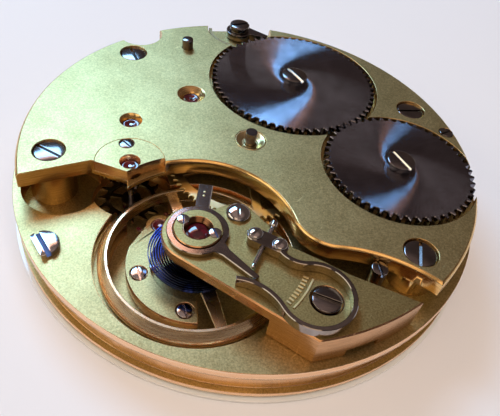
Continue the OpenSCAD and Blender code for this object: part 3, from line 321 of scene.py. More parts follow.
class Value:
    """A number that changes over a surface."""

    def __init__(self, finish, socket):
        self.finish = finish
        self.socket = socket

    def math(self, operation, *others):
        values = dict(enumerate((self, *others)))
        return self.finish.node("ShaderNodeMath", {"operation": operation}, values)

    def swapped(self, operation, other):
        return self.finish.node("ShaderNodeMath", {"operation": operation}, {0: other, 1: self})

    def __add__(self, other):
        return self.math("ADD", other)

    def __sub__(self, other):
        return self.math("SUBTRACT", other)

    def __mul__(self, other):
        return self.math("MULTIPLY", other)

    def __truediv__(self, other):
        return self.math("DIVIDE", other)

    def __rsub__(self, other):
        return self.swapped("SUBTRACT", other)

    def __rtruediv__(self, other):
        return self.swapped("DIVIDE", other)

    __radd__ = __add__
    __rmul__ = __mul__

    def __abs__(self):
        return self.math("ABSOLUTE")

    def step(self, start, end):
        """0 before start and 1 after end, smooth between."""
        places = {"Value": self, "From Min": start, "From Max": end}
        return self.finish.node("ShaderNodeMapRange", {"interpolation_type": "SMOOTHSTEP"}, places)


class Finish:
    """One material, or the room's light, and the nodes that it is made of."""

    def __init__(self, name, made_by=bpy.data.materials, shader="Principled BSDF", **sockets):
        self.material = made_by.new(name)
        self.material.use_nodes = True
        self.tree = self.material.node_tree
        self.shader = self.tree.nodes[shader]
        self.set(**sockets)

    def set(self, **sockets):
        """Sets or links the shader's sockets: base_color is Base Color."""
        for name, value in sockets.items():
            self.feed(self.shader.inputs[name.replace("_", " ").title()], value)
        return self

    def feed(self, socket, value):
        if isinstance(value, Value):
            self.tree.links.new(value.socket, socket)
        elif socket.type == "RGBA":
            socket.default_value = (*value, 1)
        else:
            socket.default_value = value

    def node(self, kind, settings=None, inputs=None, output=0):
        made = self.tree.nodes.new(kind)
        for name, value in (settings or {}).items():
            setattr(made, name, value)
        for key, value in (inputs or {}).items():
            self.feed(made.inputs[key], value)
        return Value(self, made.outputs[output])

    def place(self):
        """The place on the piece, in millimetres."""
        found = self.node("ShaderNodeTexCoord", output="Object")
        return self.node("ShaderNodeVectorMath", {"operation": "SCALE"}, {0: found, "Scale": 1 / MM})

    def parts(self, vector):
        split = self.node("ShaderNodeSeparateXYZ", inputs={0: vector})
        return [Value(self, socket) for socket in split.socket.node.outputs]

    def normal(self):
        return self.node("ShaderNodeNewGeometry", output="Normal")

    def upright(self):
        """1 on faces that look straight up or down, 0 on walls."""
        return abs(self.parts(self.normal())[2])

    def noise(self, place, scale, detail=2.0, rough=0.5):
        sockets = {"Vector": place, "Scale": scale, "Detail": detail, "Roughness": rough}
        return self.node("ShaderNodeTexNoise", None, sockets)

    def mix(self, factor, a, b):
        """Colour a where factor is 0, colour b where it is 1."""
        colours = {0: factor, MIX_FIRST: a, MIX_SECOND: b}
        return self.node("ShaderNodeMix", {"data_type": "RGBA"}, colours, MIX_RESULT)

    def vector(self, operation, a, b):
        return self.node("ShaderNodeVectorMath", {"operation": operation}, {0: a, 1: b})

    def stretch(self, place, scale, turn=0.0):
        """The place turned on the plan and scaled by axis, for a grain that runs one way."""
        turned_place = self.node("ShaderNodeMapping", None, {"Vector": place, "Rotation": (0, 0, turn)})
        return self.vector("MULTIPLY", turned_place, scale)

    def plan_vector(self, x, y):
        return self.node("ShaderNodeCombineXYZ", None, {0: x, 1: y})

    def rotated(self, x, y, turn):
        """Two plan numbers turned by an angle in radians."""
        cosine, sine = turn.math("COSINE"), turn.math("SINE")
        return x * cosine - y * sine, x * sine + y * cosine

    def bump(self, height, strength, depth):
        """A bump of that depth in millimetres."""
        sockets = {"Height": height, "Strength": strength, "Distance": depth * MM}
        self.set(normal=self.node("ShaderNodeBump", None, sockets))
        return self

    def round_place(self, centre):
        """Radius from an upright axis, and the outward plan direction as two numbers."""
        x, y, _ = self.parts(self.place())
        dx, dy = x - centre[0], y - centre[1]
        radius = (dx * dx + dy * dy).math("SQRT")
        return radius, dx / radius, dy / radius


FROST_DARK = (0.41, 0.315, 0.125)
FROST_PALE = (0.82, 0.68, 0.32)
# The cock's frosted gilt is a darker copy of the plates' gilt: painted shade, the same fire gilding coloured as it
# looks in shade.
COCK_SHADE_DARK = (0.31, 0.225, 0.08)
COCK_SHADE_PALE = (0.64, 0.50, 0.20)
# The plates' walls are polished gilt, made brighter and rosier than the bridge's: partly the gilt's own colour and
# partly a painted reflection of the pale floor.
ROSE_SHEEN_WALLS = (0.92, 0.57, 0.35), (1.0, 0.72, 0.47)
GOLD_WALLS = (0.66, 0.43, 0.17), (0.95, 0.68, 0.32)
# The cock's polished walls are darker again: painted shade.
COCK_SHADE_WALLS = (0.52, 0.31, 0.16), (0.74, 0.46, 0.26)


def gilt_finish(name, dark, pale, walls):
    """Fire-gilt brass: a frosted grain on flat faces, polished bevels and walls drawn with fine lines."""
    finish = Finish(name, metallic=1.0)
    place = finish.place()
    flat = finish.upright().step(0.9, 0.985)
    grain = finish.noise(place, 7.0, 3.0, 0.7)
    scored = finish.noise(finish.stretch(place, (0.9, 5.0, 1.0), -1.0), 1.0, 1.0).step(0.745, 0.775)
    cloud = finish.noise(place, 0.35, 2.0)
    lines = finish.noise(finish.stretch(place, (0.6, 0.6, 22.0)), 1.0, 2.0)
    speck = (grain - 0.5) * 1.4 + 0.52 + (cloud - 0.5) * 0.35 + scored * 0.6
    frost = finish.mix(speck.step(0.1, 0.95), dark, pale)
    polish = finish.mix(lines.step(0.3, 0.7), *walls)
    finish.set(base_color=finish.mix(flat, polish, frost))
    finish.set(roughness=flat * (0.13 + grain * 0.12) + 0.22 + lines * 0.06)
    return finish.bump(grain * flat + lines * 0.15 - scored, 0.4, 0.02).material


def steel_finish(name, dark, pale, roughness, grain=14.0):
    """Plain steel with a faint cloud and a fine brushed grain."""
    finish = Finish(name, metallic=1.0)
    place = finish.place()
    cloud = finish.noise(place, 0.8, 3.0)
    lines = finish.noise(finish.stretch(place, (1.0, grain, 1.0)), 1.2, 2.0)
    shade = cloud * 0.6 + lines * 0.4
    finish.set(base_color=finish.mix(shade.step(0.3, 0.7), dark, pale))
    finish.set(roughness=roughness * 0.7 + lines * roughness * 0.6)
    return finish.bump(lines, 0.08, 0.01).material


# Snailing: how far the spiral curls, how widely its facets fan, and the share of the radius where it stops
SNAIL_CURL, SNAIL_FAN, SNAIL_STOP = -24.0, 0.82, 0.12
# The facets' scatter has no grain that can be seen, and the streaks bend with the radius
SCATTER_SCALE = (977.0, 1013.0, 991.0)
STREAKS, STREAK_BEND = 110.0, 0.55


def snailed_finish(name, centre, tip, lead):
    """Steel snailed on a wheel: each fine scratch lies along a spiral, so facets tilt across it."""
    finish = Finish(name, metallic=1.0)
    place = finish.place()
    radius, out_x, out_y = finish.round_place(centre)
    turn = (lead + SNAIL_CURL * tip / radius.math("MAXIMUM", tip * SNAIL_STOP)) * math.radians(1)
    across_x, across_y = finish.rotated(out_x, out_y, turn)
    top = finish.parts(finish.normal())[2].step(0.9, 0.98)
    fine = finish.vector("MULTIPLY", place, SCATTER_SCALE)
    scatter = finish.node("ShaderNodeTexWhiteNoise", None, {"Vector": fine})
    tilt = (scatter - 0.5) * top * SNAIL_FAN
    lean = finish.plan_vector(across_x * tilt, across_y * tilt)
    spaces = {"convert_from": "OBJECT", "convert_to": "WORLD"}
    turned_lean = finish.node("ShaderNodeVectorTransform", spaces, {0: lean})
    leaning = finish.vector("ADD", finish.normal(), turned_lean)
    finish.set(normal=finish.node("ShaderNodeVectorMath", {"operation": "NORMALIZE"}, {0: leaning}))
    round_x, round_y = finish.rotated(out_x, out_y, radius / tip * STREAK_BEND)
    streaks = finish.noise(finish.plan_vector(round_x * STREAKS, round_y * STREAKS), 1.0, 3.0, 0.6)
    cloud = finish.noise(place, 0.5, 2.0)
    tone = streaks * 0.6 + cloud * 0.4
    finish.set(base_color=finish.mix(tone.step(0.3, 0.7), (0.135, 0.13, 0.16), (0.25, 0.257, 0.32)))
    finish.set(roughness=0.1 + streaks * 0.06)
    return finish.material


def ruby_finish(name):
    """Dark red stone under a clear polish."""
    finish = Finish(name, coat_weight=1.0, coat_roughness=0.03, roughness=0.08)
    cloud = finish.noise(finish.place(), 1.5, 2.0).step(0.3, 0.7)
    finish.set(base_color=finish.mix(cloud, (0.02, 0.001, 0.004), (0.10, 0.004, 0.012)))
    return finish.material


def enamel_finish(name):
    """White enamel with a faint wave left by the kiln."""
    finish = Finish(name, coat_weight=0.6, coat_roughness=0.04)
    place = finish.place()
    cloud = finish.noise(place, 0.2, 3.0)
    wave = finish.noise(place, 1.3, 2.0)
    finish.set(base_color=finish.mix(cloud.step(0.3, 0.7), (0.80, 0.79, 0.74), (0.86, 0.85, 0.81)))
    finish.set(roughness=0.14 + wave * 0.08)
    return finish.bump(wave, 0.05, 0.02).material


def ink_finish(name):
    """Black paint fired on the dial."""
    finish = Finish(name)
    cloud = finish.noise(finish.place(), 6.0, 2.0)
    finish.set(base_color=finish.mix(cloud, (0.006, 0.006, 0.008), (0.02, 0.02, 0.024)))
    return finish.set(roughness=0.25 + cloud * 0.15).material


def brass_finish(name, dark, pale, roughness):
    """Brass with a faint cloud and fine lines left by the lathe."""
    finish = Finish(name, metallic=1.0)
    place = finish.place()
    lines = finish.noise(finish.stretch(place, (0.5, 0.5, 18.0)), 1.0, 2.0)
    cloud = finish.noise(place, 0.6, 3.0)
    shade = lines * 0.6 + cloud * 0.4
    finish.set(base_color=finish.mix(shade.step(0.3, 0.7), dark, pale))
    finish.set(roughness=roughness * 0.75 + lines * roughness * 0.5)
    return finish.bump(lines, 0.08, 0.01).material


GILT = gilt_finish("gilt", FROST_DARK, FROST_PALE, ROSE_SHEEN_WALLS)
BRIDGE_GILT = gilt_finish("bridge_gilt", FROST_DARK, FROST_PALE, GOLD_WALLS)
# The cock and its cap plate take the darker copy of the gilt: painted shade.
SHADED_COCK_GILT = gilt_finish("cock_gilt_painted_shade", COCK_SHADE_DARK, COCK_SHADE_PALE, COCK_SHADE_WALLS)
SCREW_STEEL = steel_finish("screw_steel", (0.18, 0.17, 0.175), (0.30, 0.285, 0.29), 0.16)
BRIGHT_STEEL = steel_finish("bright_steel", (0.46, 0.46, 0.49), (0.66, 0.66, 0.69), 0.11)
# Slot finishes paint the light in a screw's slot: this dark steel is painted shade on a slot's floor and walls.
SLOT_SHADE = steel_finish("slot_painted_shade", (0.02, 0.022, 0.04), (0.05, 0.055, 0.09), 0.3)
# Near-white steel on the floor and walls of the filed slots: a painted highlight.
SLOT_HIGHLIGHT = steel_finish("slot_painted_highlight", (0.86, 0.83, 0.78), (0.97, 0.95, 0.90), 0.2)
GREY_STEEL = steel_finish("grey_steel", (0.29, 0.275, 0.275), (0.42, 0.40, 0.405), 0.1)
BRIGHT_GOLD = brass_finish("bright_gold", (0.95, 0.74, 0.32), (1.0, 0.84, 0.46), 0.55)
BLUED_STEEL = steel_finish("blued_steel", (0.004, 0.011, 0.07), (0.022, 0.065, 0.38), 0.14)
BRASS = brass_finish("brass", (0.66, 0.52, 0.24), (0.90, 0.76, 0.42), 0.3)
RIM_BRASS = brass_finish("rim_brass", (0.76, 0.56, 0.32), (0.95, 0.79, 0.54), 0.27)
# Dark brass for the polished funnel round the endstone: painted shade, the bowl coloured as it looks in shade.
SHADED_SETTING = brass_finish("setting", (0.15, 0.07, 0.035), (0.28, 0.145, 0.08), 0.22)
RUBY = ruby_finish("ruby")
ENAMEL = enamel_finish("enamel")
INK = ink_finish("ink")
BY_SLOT = {
    "gilt": GILT,
    "brass": BRASS,
    "steel": SCREW_STEEL,
    "bright_steel": BRIGHT_STEEL,
    "grey_steel": GREY_STEEL,
    "snailed_steel": GREY_STEEL,
    "blued_steel": BLUED_STEEL,
    "ruby": RUBY,
    "enamel": ENAMEL,
}
BY_NODE = {"train_bridge": BRIDGE_GILT}
for node, solid in frame["nodes"].items():
    solid.data.materials.clear()
    solid.data.materials.append(BY_NODE.get(node, BY_SLOT[SLOT_OF[node]]))


# Screws: a turned head and shank, and a slot with broken edges


def flat_head(radius, top, edge):
    """A head's profile from the axis out: a flat top with a broken edge."""
    return [(0, top), (radius - edge, top), (radius - edge * 0.3, top - edge * 0.3), (radius, top - edge)]


def screw(name, box, head_h, shank_r, turn, slot_w, slot_deep, edge=0.1, rise=0.0, filed=0.0):
    """A slotted screw in its solid's box; rise domes the head, and filed slopes the slot's corners."""
    at, radius, bottom, top = plan_centre(box), half_across(box), box[0].z, box[1].z
    seat = top - head_h
    slot_reach, slot_tool_top = radius * 1.2, top + 0.5
    head = dome(radius, top, rise, degrees=90) if rise else flat_head(radius, top, edge)
    piece = turned(name, [*head, (radius, seat), (shank_r, seat), (shank_r, bottom), (0, bottom)], at, 64)
    slot = cross_bar("slot", at, slot_reach, turn, slot_w, top - slot_deep, slot_tool_top, filed)
    return round_edges(cut(piece, slot), width=0.02)


def line_slot(piece, finish, at, along, slot_w, slot_deep, top):
    """Gives the floor and walls of a settled screw's slot a second material whose colour is painted light: painted
    shade in a dark slot, a painted highlight in a bright one.
    """
    piece.data.materials.append(finish)
    side = polar(CENTRE, 1, along + 90)
    floor, brim, slack = top - slot_deep, top - 0.04, 0.01
    for face in piece.data.polygons:
        spot = face.center / MM
        beside = abs((spot.xy - at).dot(side))
        if beside < slot_w / 2 + slack and floor - slack < spot.z < brim:
            face.material_index = 1


def screws(node, turns, head_h, shank_r, slot_w, slot_deep, finish=SCREW_STEEL, slot_light=None, **form):
    """Every screw of a node, from left to right, each its own piece with its slot at its own turn."""
    for i, (box, turn) in enumerate(zip(solids(node), turns)):
        piece = screw(f"{node}_{i + 1}", box, head_h, shank_r, turn, slot_w, slot_deep, **form)
        settle(piece, finish, node)
        # When slot_light is given, the slot gets painted light: painted shade or a painted highlight.
        if slot_light:
            line_slot(piece, slot_light, plan_centre(box), turn, slot_w, slot_deep, box[1].z)


screws("bridge_screws", [-20, -58, 85, 15], head_h=0.72, shank_r=0.6, slot_w=0.26, slot_deep=0.34)
screws("escape_cock_screw", [-35], head_h=0.4, shank_r=0.3, slot_w=0.18, slot_deep=0.22, edge=0.06)
screws("cock_screw", [-12], head_h=0.65, shank_r=0.6, slot_w=0.34, slot_deep=0.34)
screws("pallet_bridge_screws", [-62, -62], head_h=0.4, shank_r=0.3, slot_w=0.16, slot_deep=0.2,
       finish=BRIGHT_STEEL, edge=0.06)
screws("dial_screw", [105], head_h=2.7, shank_r=0.6, slot_w=0.2, slot_deep=0.34)
screws("detent_screw", [40], head_h=0.55, shank_r=0.35, slot_w=0.18, slot_deep=0.22, edge=0.06)
# The cap screws' slots get painted shade.
screws("cap_screws", [285, 122], head_h=0.27, shank_r=0.2, slot_w=0.13, slot_deep=0.15,
       finish=BRIGHT_STEEL, slot_light=SLOT_SHADE, edge=0.05)
screws("swan_neck_screws", [60, 60], head_h=0.35, shank_r=0.25, slot_w=0.2, slot_deep=0.2,
       finish=BRIGHT_STEEL, rise=0.26)
screws("stud_screw", [100], head_h=0.6, shank_r=0.3, slot_w=0.26, slot_deep=0.3,
       finish=BRIGHT_STEEL, rise=0.5)
# The ratchet and crown screws' filed slots get a painted highlight.
screws("ratchet_screw", [-48], head_h=0.65, shank_r=0.4, slot_w=0.4, slot_deep=0.3,
       slot_light=SLOT_HIGHLIGHT, filed=0.17)
screws("crown_screw", [-55], head_h=0.6, shank_r=0.6, slot_w=0.4, slot_deep=0.3,
       slot_light=SLOT_HIGHLIGHT, filed=0.17)
screws("click_screw", [30], head_h=0.7, shank_r=0.45, slot_w=0.28, slot_deep=0.3)

DOG_SCREWS_AT = Vector((-15, -14.1)), Vector((-14.7, 15.2))


def dog_screws():
    """Half-moon case screws: the flat clears the case, and the round, turned outwards, grips it."""
    radius, flat, head_h, shank_r, slot_w, slot_deep, edge = 1.35, 0.6, 0.5, 0.6, 0.4, 0.3, 0.05
    top, bottom = high("dog_screws").z, low("dog_screws").z
    seat, reach = top - head_h, 2
    profile = [(0, top), (radius - edge, top), (radius, top - edge), (radius, seat), (shank_r, seat),
               (shank_r, bottom), (0, bottom)]
    for i, at in enumerate(DOG_SCREWS_AT):
        piece = turned(f"dog_screws_{i + 1}", profile, at)
        out = heading(CENTRE, at)
        along = out + 90
        beyond = polar(at, flat + reach / 2, out)
        cut(piece, cross_bar("flat", beyond, reach, along, reach, seat - PAST, top + PAST))
        cut(piece, cross_bar("slot", at, reach, along, slot_w, top - slot_deep, top + PAST))
        settle(round_edges(piece, width=0.03), BRIGHT_STEEL, "dog_screws")
        # The slot's floor and walls get painted shade.
        line_slot(piece, SLOT_SHADE, at, along, slot_w, slot_deep, top)


dog_screws()


# Winding wheels


RATCHET_TEETH, CROWN_TEETH = 63, 50
# Teeth in modules: both tips beyond the pitch circle, and a whole tooth's depth
TIPS_MODULES, DEPTH_MODULES = 1.44, 1.72


def tooth_depth(tip_r, count):
    return DEPTH_MODULES * 2 * tip_r / (count + TIPS_MODULES)


def toothed(centre, count, tip_r, phase):
    """A wheel's outline: straight-flanked teeth with eased tips and hollowed gaps."""
    deep = tooth_depth(tip_r, count)
    root_r = tip_r - deep
    flank = [(root_r + 0.03, 0.31), (root_r + deep * 0.3, 0.25), (tip_r - 0.08, 0.13), (tip_r, 0.08)]
    form = [*((r, -share) for r, share in flank), *reversed(flank), (root_r, 0.5)]
    pitch = 360 / count
    return [polar(centre, r, phase + pitch * (i + share)) for i in range(count) for r, share in form]


def winding_wheel(node, centre, count, phase, bore, lead):
    """A steel wheel with chamfered teeth and a snailed face; lead turns the spiral of its grain."""
    bottom, top = low(node).z, high(node).z
    tip_r = half_width(node)
    piece = plate(node + "_snailed", toothed(centre, count, tip_r, phase), bottom, top, chamfer=0.06)
    drill(piece, centre, bore, bottom, top)
    finish = snailed_finish(node + "_steel", centre, tip_r, lead)
    return settle(piece, finish, node, smooth=40)


winding_wheel("ratchet_wheel", BARREL, RATCHET_TEETH, heading(BARREL, CROWN), bore=1.0, lead=-26)
crown_phase = heading(CROWN, BARREL) + 180 / CROWN_TEETH
winding_wheel("crown_wheel", CROWN, CROWN_TEETH, crown_phase, bore=0.62, lead=-40)


# Balance and hairspring


def balance():
    """A plain rim that slopes on the outside, on a straight two-armed crossing."""
    bottom, top = low("balance_wheel").z, high("balance_wheel").z
    outer = half_width("balance_wheel")
    inner, lip, slope_h, edge = outer - 0.9, 0.25, 0.75, 0.06
    rim = [(inner + edge, bottom), (outer - edge, bottom), (outer, bottom + edge), (outer, top - slope_h),
           (outer - 0.03, top - slope_h + 0.06), (inner + lip + 0.04, top - 0.05), (inner + lip, top),
           (inner + edge, top), (inner, top - edge), (inner, bottom + edge)]
    piece = turned("balance_rim_and_arms", rim, STAFF, steps=160, ring=True)
    arm_z, arm_t, arm_w, arm_turn = 3.9, 0.3, 0.9, 118
    hub_r, hub_turn, flare_r, flare_turn, bore = 1.3, 40, 1.55, 28, 0.47
    crossing = []
    for side in (arm_turn, arm_turn + 180):
        end, back = polar(STAFF, inner + 0.2, side), side + 180
        crossing += [polar(end, arm_w / 2, side - 90), polar(end, arm_w / 2, side + 90),
                     polar(STAFF, flare_r, side + flare_turn),
                     *arc(STAFF, hub_r, side + hub_turn, back - hub_turn, 8),
                     polar(STAFF, flare_r, back - flare_turn)]
    join(piece, plate("crossing", crossing, arm_z, arm_z + arm_t, chamfer=0.05))
    drill(piece, STAFF, bore, arm_z, arm_z + arm_t, steps=32)
    return settle(piece, RIM_BRASS, "balance_wheel")


def spiral(inner_r, outer_r, turns, end):
    """Points along a flat spiral that winds out clockwise and ends at a given turn."""
    count = turns * 60
    radii = [inner_r + (outer_r - inner_r) * i / count for i in range(count + 1)]
    return [polar(STAFF, r, end - 360 * turns * (i / count - 1)) for i, r in enumerate(radii)]


def hairspring():
    """A blued strip wound in a flat spiral from the collet out to the stud."""
    bottom, top = low("hairspring").z, high("hairspring").z
    stud = heading(STAFF, middle("hairspring_stud"))
    strip, turns, inner_r, outer_r = 0.08, 15, 0.9, 4
    inner, outer = (spiral(inner_r + off, outer_r + off, turns, stud) for off in (-strip / 2, strip / 2))
    coil = plate("hairspring_coil", inner + outer[::-1], bottom, top)
    return settle(coil, BLUED_STEEL, "hairspring", smooth=60)


balance()
hairspring()


# Balance cock and its regulator


COCK_TOP = high("balance_cock").z
COCK_BOTTOM = 6.3
COCK_RIM = 21.13
HEAD_R, BOSS_R = 2.9, 1.3
STUD_AT = middle("hairspring_stud")
FOOT_CUT_R = 8.95


def cock_outline():
    """Round head, stud boss, and the broad foot that ends on the plate's rim."""
    head = arc(STAFF, HEAD_R, -112, -285, 40)
    boss = arc(STUD_AT, BOSS_R, 128, 35, 12)
    shoulder = [(5, -11.8), (7.6, -12.65), (9.5, -13.4)]
    rim = arc(CENTRE, COCK_RIM, -44.5, -69.4, 24)
    return [*head, *boss, *shoulder, *rim]


def balance_cock():
    """The cock with polished chamfers, cut away below over the balance and notched for lifting."""
    foot = low("balance_cock").z
    piece = plate("balance_cock_chamfered", cock_outline(), foot, COCK_TOP, chamfer=0.11)
    hollow = [(0, foot - 1), (FOOT_CUT_R, foot - 1), (FOOT_CUT_R, COCK_BOTTOM), (0, COCK_BOTTOM)]
    cut(piece, turned("under", hollow, STAFF, steps=96))
    seat_r, seat_z, hole_r, edge = 1.25, 6.77, 0.62, 0.08
    seat = [(seat_r + edge, COCK_TOP + PAST), (seat_r + edge, COCK_TOP), (seat_r, COCK_TOP - edge),
            (seat_r, seat_z), (hole_r, seat_z), (hole_r, foot - PAST), (0, foot - PAST)]
    sink(piece, middle("cock_screw"), seat)
    notch_turn, notch_reach, notch_w, notch_h = -58.5, 1.4, 3.0, 0.85
    at, along = polar(CENTRE, COCK_RIM, notch_turn), notch_turn + 90
    cut(piece, cross_bar("notch", at, notch_reach, along, notch_w, foot - PAST, foot + notch_h))
    staff_hole_r, stud_hole_r = 0.76, 0.32
    drill(piece, STAFF, staff_hole_r, COCK_BOTTOM, COCK_TOP, steps=40)
    drill(piece, STUD_AT, stud_hole_r, COCK_BOTTOM, COCK_TOP, steps=40)
    return settle(piece, SHADED_COCK_GILT, "balance_cock")


def graduations():
    """A plain scale beyond the index: an arc and a row of short lines, raised in bright gold."""
    line_r, mark_in, mark_out, start, end = 9.72, 8.95, 9.4, -14.5, -33.5
    half, top, slope = 0.09, COCK_TOP + 0.08, 0.036
    marks, inset = 9, 0.8
    line = arc(STAFF, line_r + half, start, end, 24) + arc(STAFF, line_r - half, end, start, 24)
    scale = plate("cock_graduations", line, COCK_TOP, top, slope)
    for i in range(marks):
        turn = start - inset + (end - start + 2 * inset) * i / (marks - 1)
        ends = polar(STAFF, mark_in, turn), polar(STAFF, mark_out, turn)
        join(scale, bar("mark", *ends, 2 * half, COCK_TOP, top, slope))
    return settle(scale, BRIGHT_GOLD, body="frame")


INDEX_BOTTOM = COCK_TOP + 0.02
INDEX_TOP = INDEX_BOTTOM + 0.4
INDEX_TURN = -34.4
CURB_TURN, CURB_R = 93, 3.93


def regulator_index():
    """A steel ring with a pointer and a tail that carries the two curb pins."""
    ring_r, hole_r, pointer_turn, tail_turn = 2.5, 1.99, 15, 13.9
    root_at, root_half, tip_at, tip_half, tail_at, tail_half = 3.1, 0.42, 6.3, 0.25, 5.1, 0.6

    def across(radius, off, turn):
        return polar(polar(STAFF, radius, turn), off, turn + 90)

    tail = [across(tail_at, -tail_half, CURB_TURN), across(tail_at, tail_half, CURB_TURN)]
    pointer = [across(root_at, -root_half, INDEX_TURN), across(tip_at, -tip_half, INDEX_TURN),
               across(tip_at, tip_half, INDEX_TURN), across(root_at, root_half, INDEX_TURN)]
    outline = [*pointer, *arc(STAFF, ring_r, INDEX_TURN + pointer_turn, CURB_TURN - tail_turn, 24), *tail,
               *arc(STAFF, ring_r, CURB_TURN + tail_turn, INDEX_TURN + 360 - pointer_turn, 44)]
    hole = arc(STAFF, hole_r, 0, 354, 59)
    piece = plate("regulator_index_ring", outline, INDEX_BOTTOM, INDEX_TOP, chamfer=0.06, holes=[hole])
    settle(piece, GREY_STEEL, "regulator_index")
    pin_r, pin_off, pin_bottom = 0.1, 0.23, low("regulator_index").z
    profile = [(0, INDEX_TOP + 0.06), (pin_r, INDEX_TOP + 0.03), (pin_r, pin_bottom), (0, pin_bottom)]
    for i, off in enumerate((-pin_off, pin_off)):
        pin = turned(f"curb_pin_{i + 1}", profile, polar(STAFF, CURB_R + off, CURB_TURN), steps=24)
        settle(pin, BRASS, body="index")


ROD_TURN, ROD_LONG = 76, 5.0
ROD_AT = polar(polar(STAFF, 5.6, INDEX_TURN), 0.37, ROD_TURN)
ROD_Z = COCK_TOP + 0.45
ROD_R, ROD_ROOT_R, ROD_HEAD_R = 0.2, 0.17, 0.36
# The way cut through the spring for the rod
ROD_WAY_R, ROD_WAY_LONG = 0.23, 7


def micrometer():
    """A fine threaded rod with a rounded end and a slotted head."""
    head, edge, slot_reach, slot_w, slot_deep = ROD_LONG - 0.5, 0.05, 0.5, 0.12, 0.18
    threads, thread_start, pitch = 26, 0.35, 0.15
    nose = [(0, 0), (0.1, 0.02), (ROD_ROOT_R, 0.1)]
    thread = []
    for i in range(threads):
        z = thread_start + i * pitch
        thread += [(ROD_R, z), (ROD_ROOT_R, z + pitch / 2)]
    cap = [(ROD_R, head), (ROD_HEAD_R - edge, head), (ROD_HEAD_R, head + edge),
           (ROD_HEAD_R, ROD_LONG - edge), (ROD_HEAD_R - edge, ROD_LONG), (0, ROD_LONG)]
    piece = turned("micrometer_rod", [*nose, *thread, *cap], CENTRE, steps=40)
    slot_ends = (-slot_reach, 0), (slot_reach, 0)
    cut(piece, bar("slot", *slot_ends, slot_w, ROD_LONG - slot_deep, ROD_LONG + PAST))
    return settle(laid(piece, ROD_AT, ROD_Z, ROD_TURN), BRIGHT_STEEL, "micrometer_screw")


NECK_C, NECK_R, NECK_W = Vector((6.95, -16.5)), 2.8, 0.38
NECK_START, NECK_END = 105, -145
NECK_ARM_R, NECK_ARM_TURN = 2.2, 78
NECK_TIP_R, NECK_TIP_TURN = 4.1, 60
BRACKET_R, BRACKET_HOLE_R = 0.7, 0.27


def swan_neck():
    """A steel ribbon bent from its bracket round a loop and back to the index."""
    top = high("swan_neck_spring").z
    arm_c = polar(NECK_C, NECK_R + NECK_ARM_R, NECK_START)
    tip_c = polar(NECK_C, NECK_R + NECK_TIP_R, NECK_END)

    def side(off):
        return [*arc(arm_c, NECK_ARM_R - off, NECK_START + 180 - NECK_ARM_TURN, NECK_START + 180, 20),
                *arc(NECK_C, NECK_R + off, NECK_START, NECK_END, 60)[1:],
                *arc(tip_c, NECK_TIP_R - off, NECK_END + 180, NECK_END + 180 + NECK_TIP_TURN, 20)[1:]]

    ribbon = side(NECK_W / 2) + side(-NECK_W / 2)[::-1]
    piece = plate("swan_neck_ribbon", ribbon, COCK_TOP, top, chamfer=0.05)
    first, second = (plan_centre(box) for box in solids("swan_neck_screws"))
    lean = heading(first, second)
    near_end = arc(first, BRACKET_R, lean + 90, lean + 270, 20)
    far_end = arc(second, BRACKET_R, lean - 90, lean + 90, 20)
    join(piece, plate("bracket", near_end + far_end, COCK_TOP, top, chamfer=0.07))
    way = [(0, 0), (ROD_WAY_R, 0), (ROD_WAY_R, ROD_WAY_LONG), (0, ROD_WAY_LONG)]
    cut(piece, laid(turned("way", way, CENTRE, steps=32), ROD_AT, ROD_Z, ROD_TURN))
    for at in (first, second):
        drill(piece, at, BRACKET_HOLE_R, COCK_TOP, top, steps=32)
    return settle(piece, GREY_STEEL, "swan_neck_spring", smooth=40)


def end_piece():
    """The frosted cap over the balance staff, with its red endstone in a polished funnel whose dark brass is
    painted shade.
    """
    bottom, top, radius = low("cap_plate").z, high("cap_plate").z, half_width("cap_plate")
    stone_bottom, stone_top = low("cap_jewel").z, high("cap_jewel").z
    stone_r, funnel_r, setting_r, edge = 0.85, 0.87, 1.2, 0.07
    cap = [(setting_r, bottom), (radius, bottom), (radius, top - edge), (radius - edge, top),
           (setting_r + 0.04, top), (setting_r, top - 0.04)]
    funnel = [(funnel_r, bottom), (setting_r, bottom), (setting_r, top - 0.03),
              (setting_r - 0.05, top - 0.02), (funnel_r, stone_top - 0.1)]
    piece = turned("cap_plate_funnel", cap, STAFF, steps=96, ring=True)
    setting = turned("cap_setting", funnel, STAFF, steps=96, ring=True)
    settle(setting, SHADED_SETTING, body="frame")
    seat_r, seat_z, hole_r = 0.53, top - 0.2, 0.24
    seat = [(seat_r, top + PAST), (seat_r, seat_z), (hole_r, seat_z), (hole_r, bottom - PAST),
            (0, bottom - PAST)]
    for box in solids("cap_screws"):
        sink(piece, plan_centre(box), seat, steps=40)
    settle(piece, SHADED_COCK_GILT, "cap_plate")
    crown = dome(stone_r, stone_top, rise=0.26, degrees=80)
    stone = [*crown, (stone_r, stone_top - 0.22), (stone_r, stone_bottom), (0, stone_bottom)]
    settle(turned("cap_jewel_dome", stone, STAFF, steps=64), RUBY, "cap_jewel")


balance_cock()
graduations()
regulator_index()
swan_neck()
micrometer()
end_piece()


# Jewels and the rim pin


def jewels():
    """Pierced rubies with an oil cup."""
    hole_r, edge = 0.13, 0.06
    bowl = [(hole_r, 0.14), (0.3, 0.12), (0.45, 0.05), (0.52, 0.01), (0.56, 0)]
    for i, box in enumerate(solids("upper_jewels")):
        at, radius, bottom, top = plan_centre(box), half_across(box), box[0].z, box[1].z
        cup = [(r, top - deep) for r, deep in bowl]
        wall = [(radius - edge, top), (radius, top - edge), (radius, bottom), (hole_r, bottom)]
        stone = turned(f"upper_jewel_{i + 1}", cup + wall, at, steps=48, ring=True)
        settle(stone, RUBY, "upper_jewels")


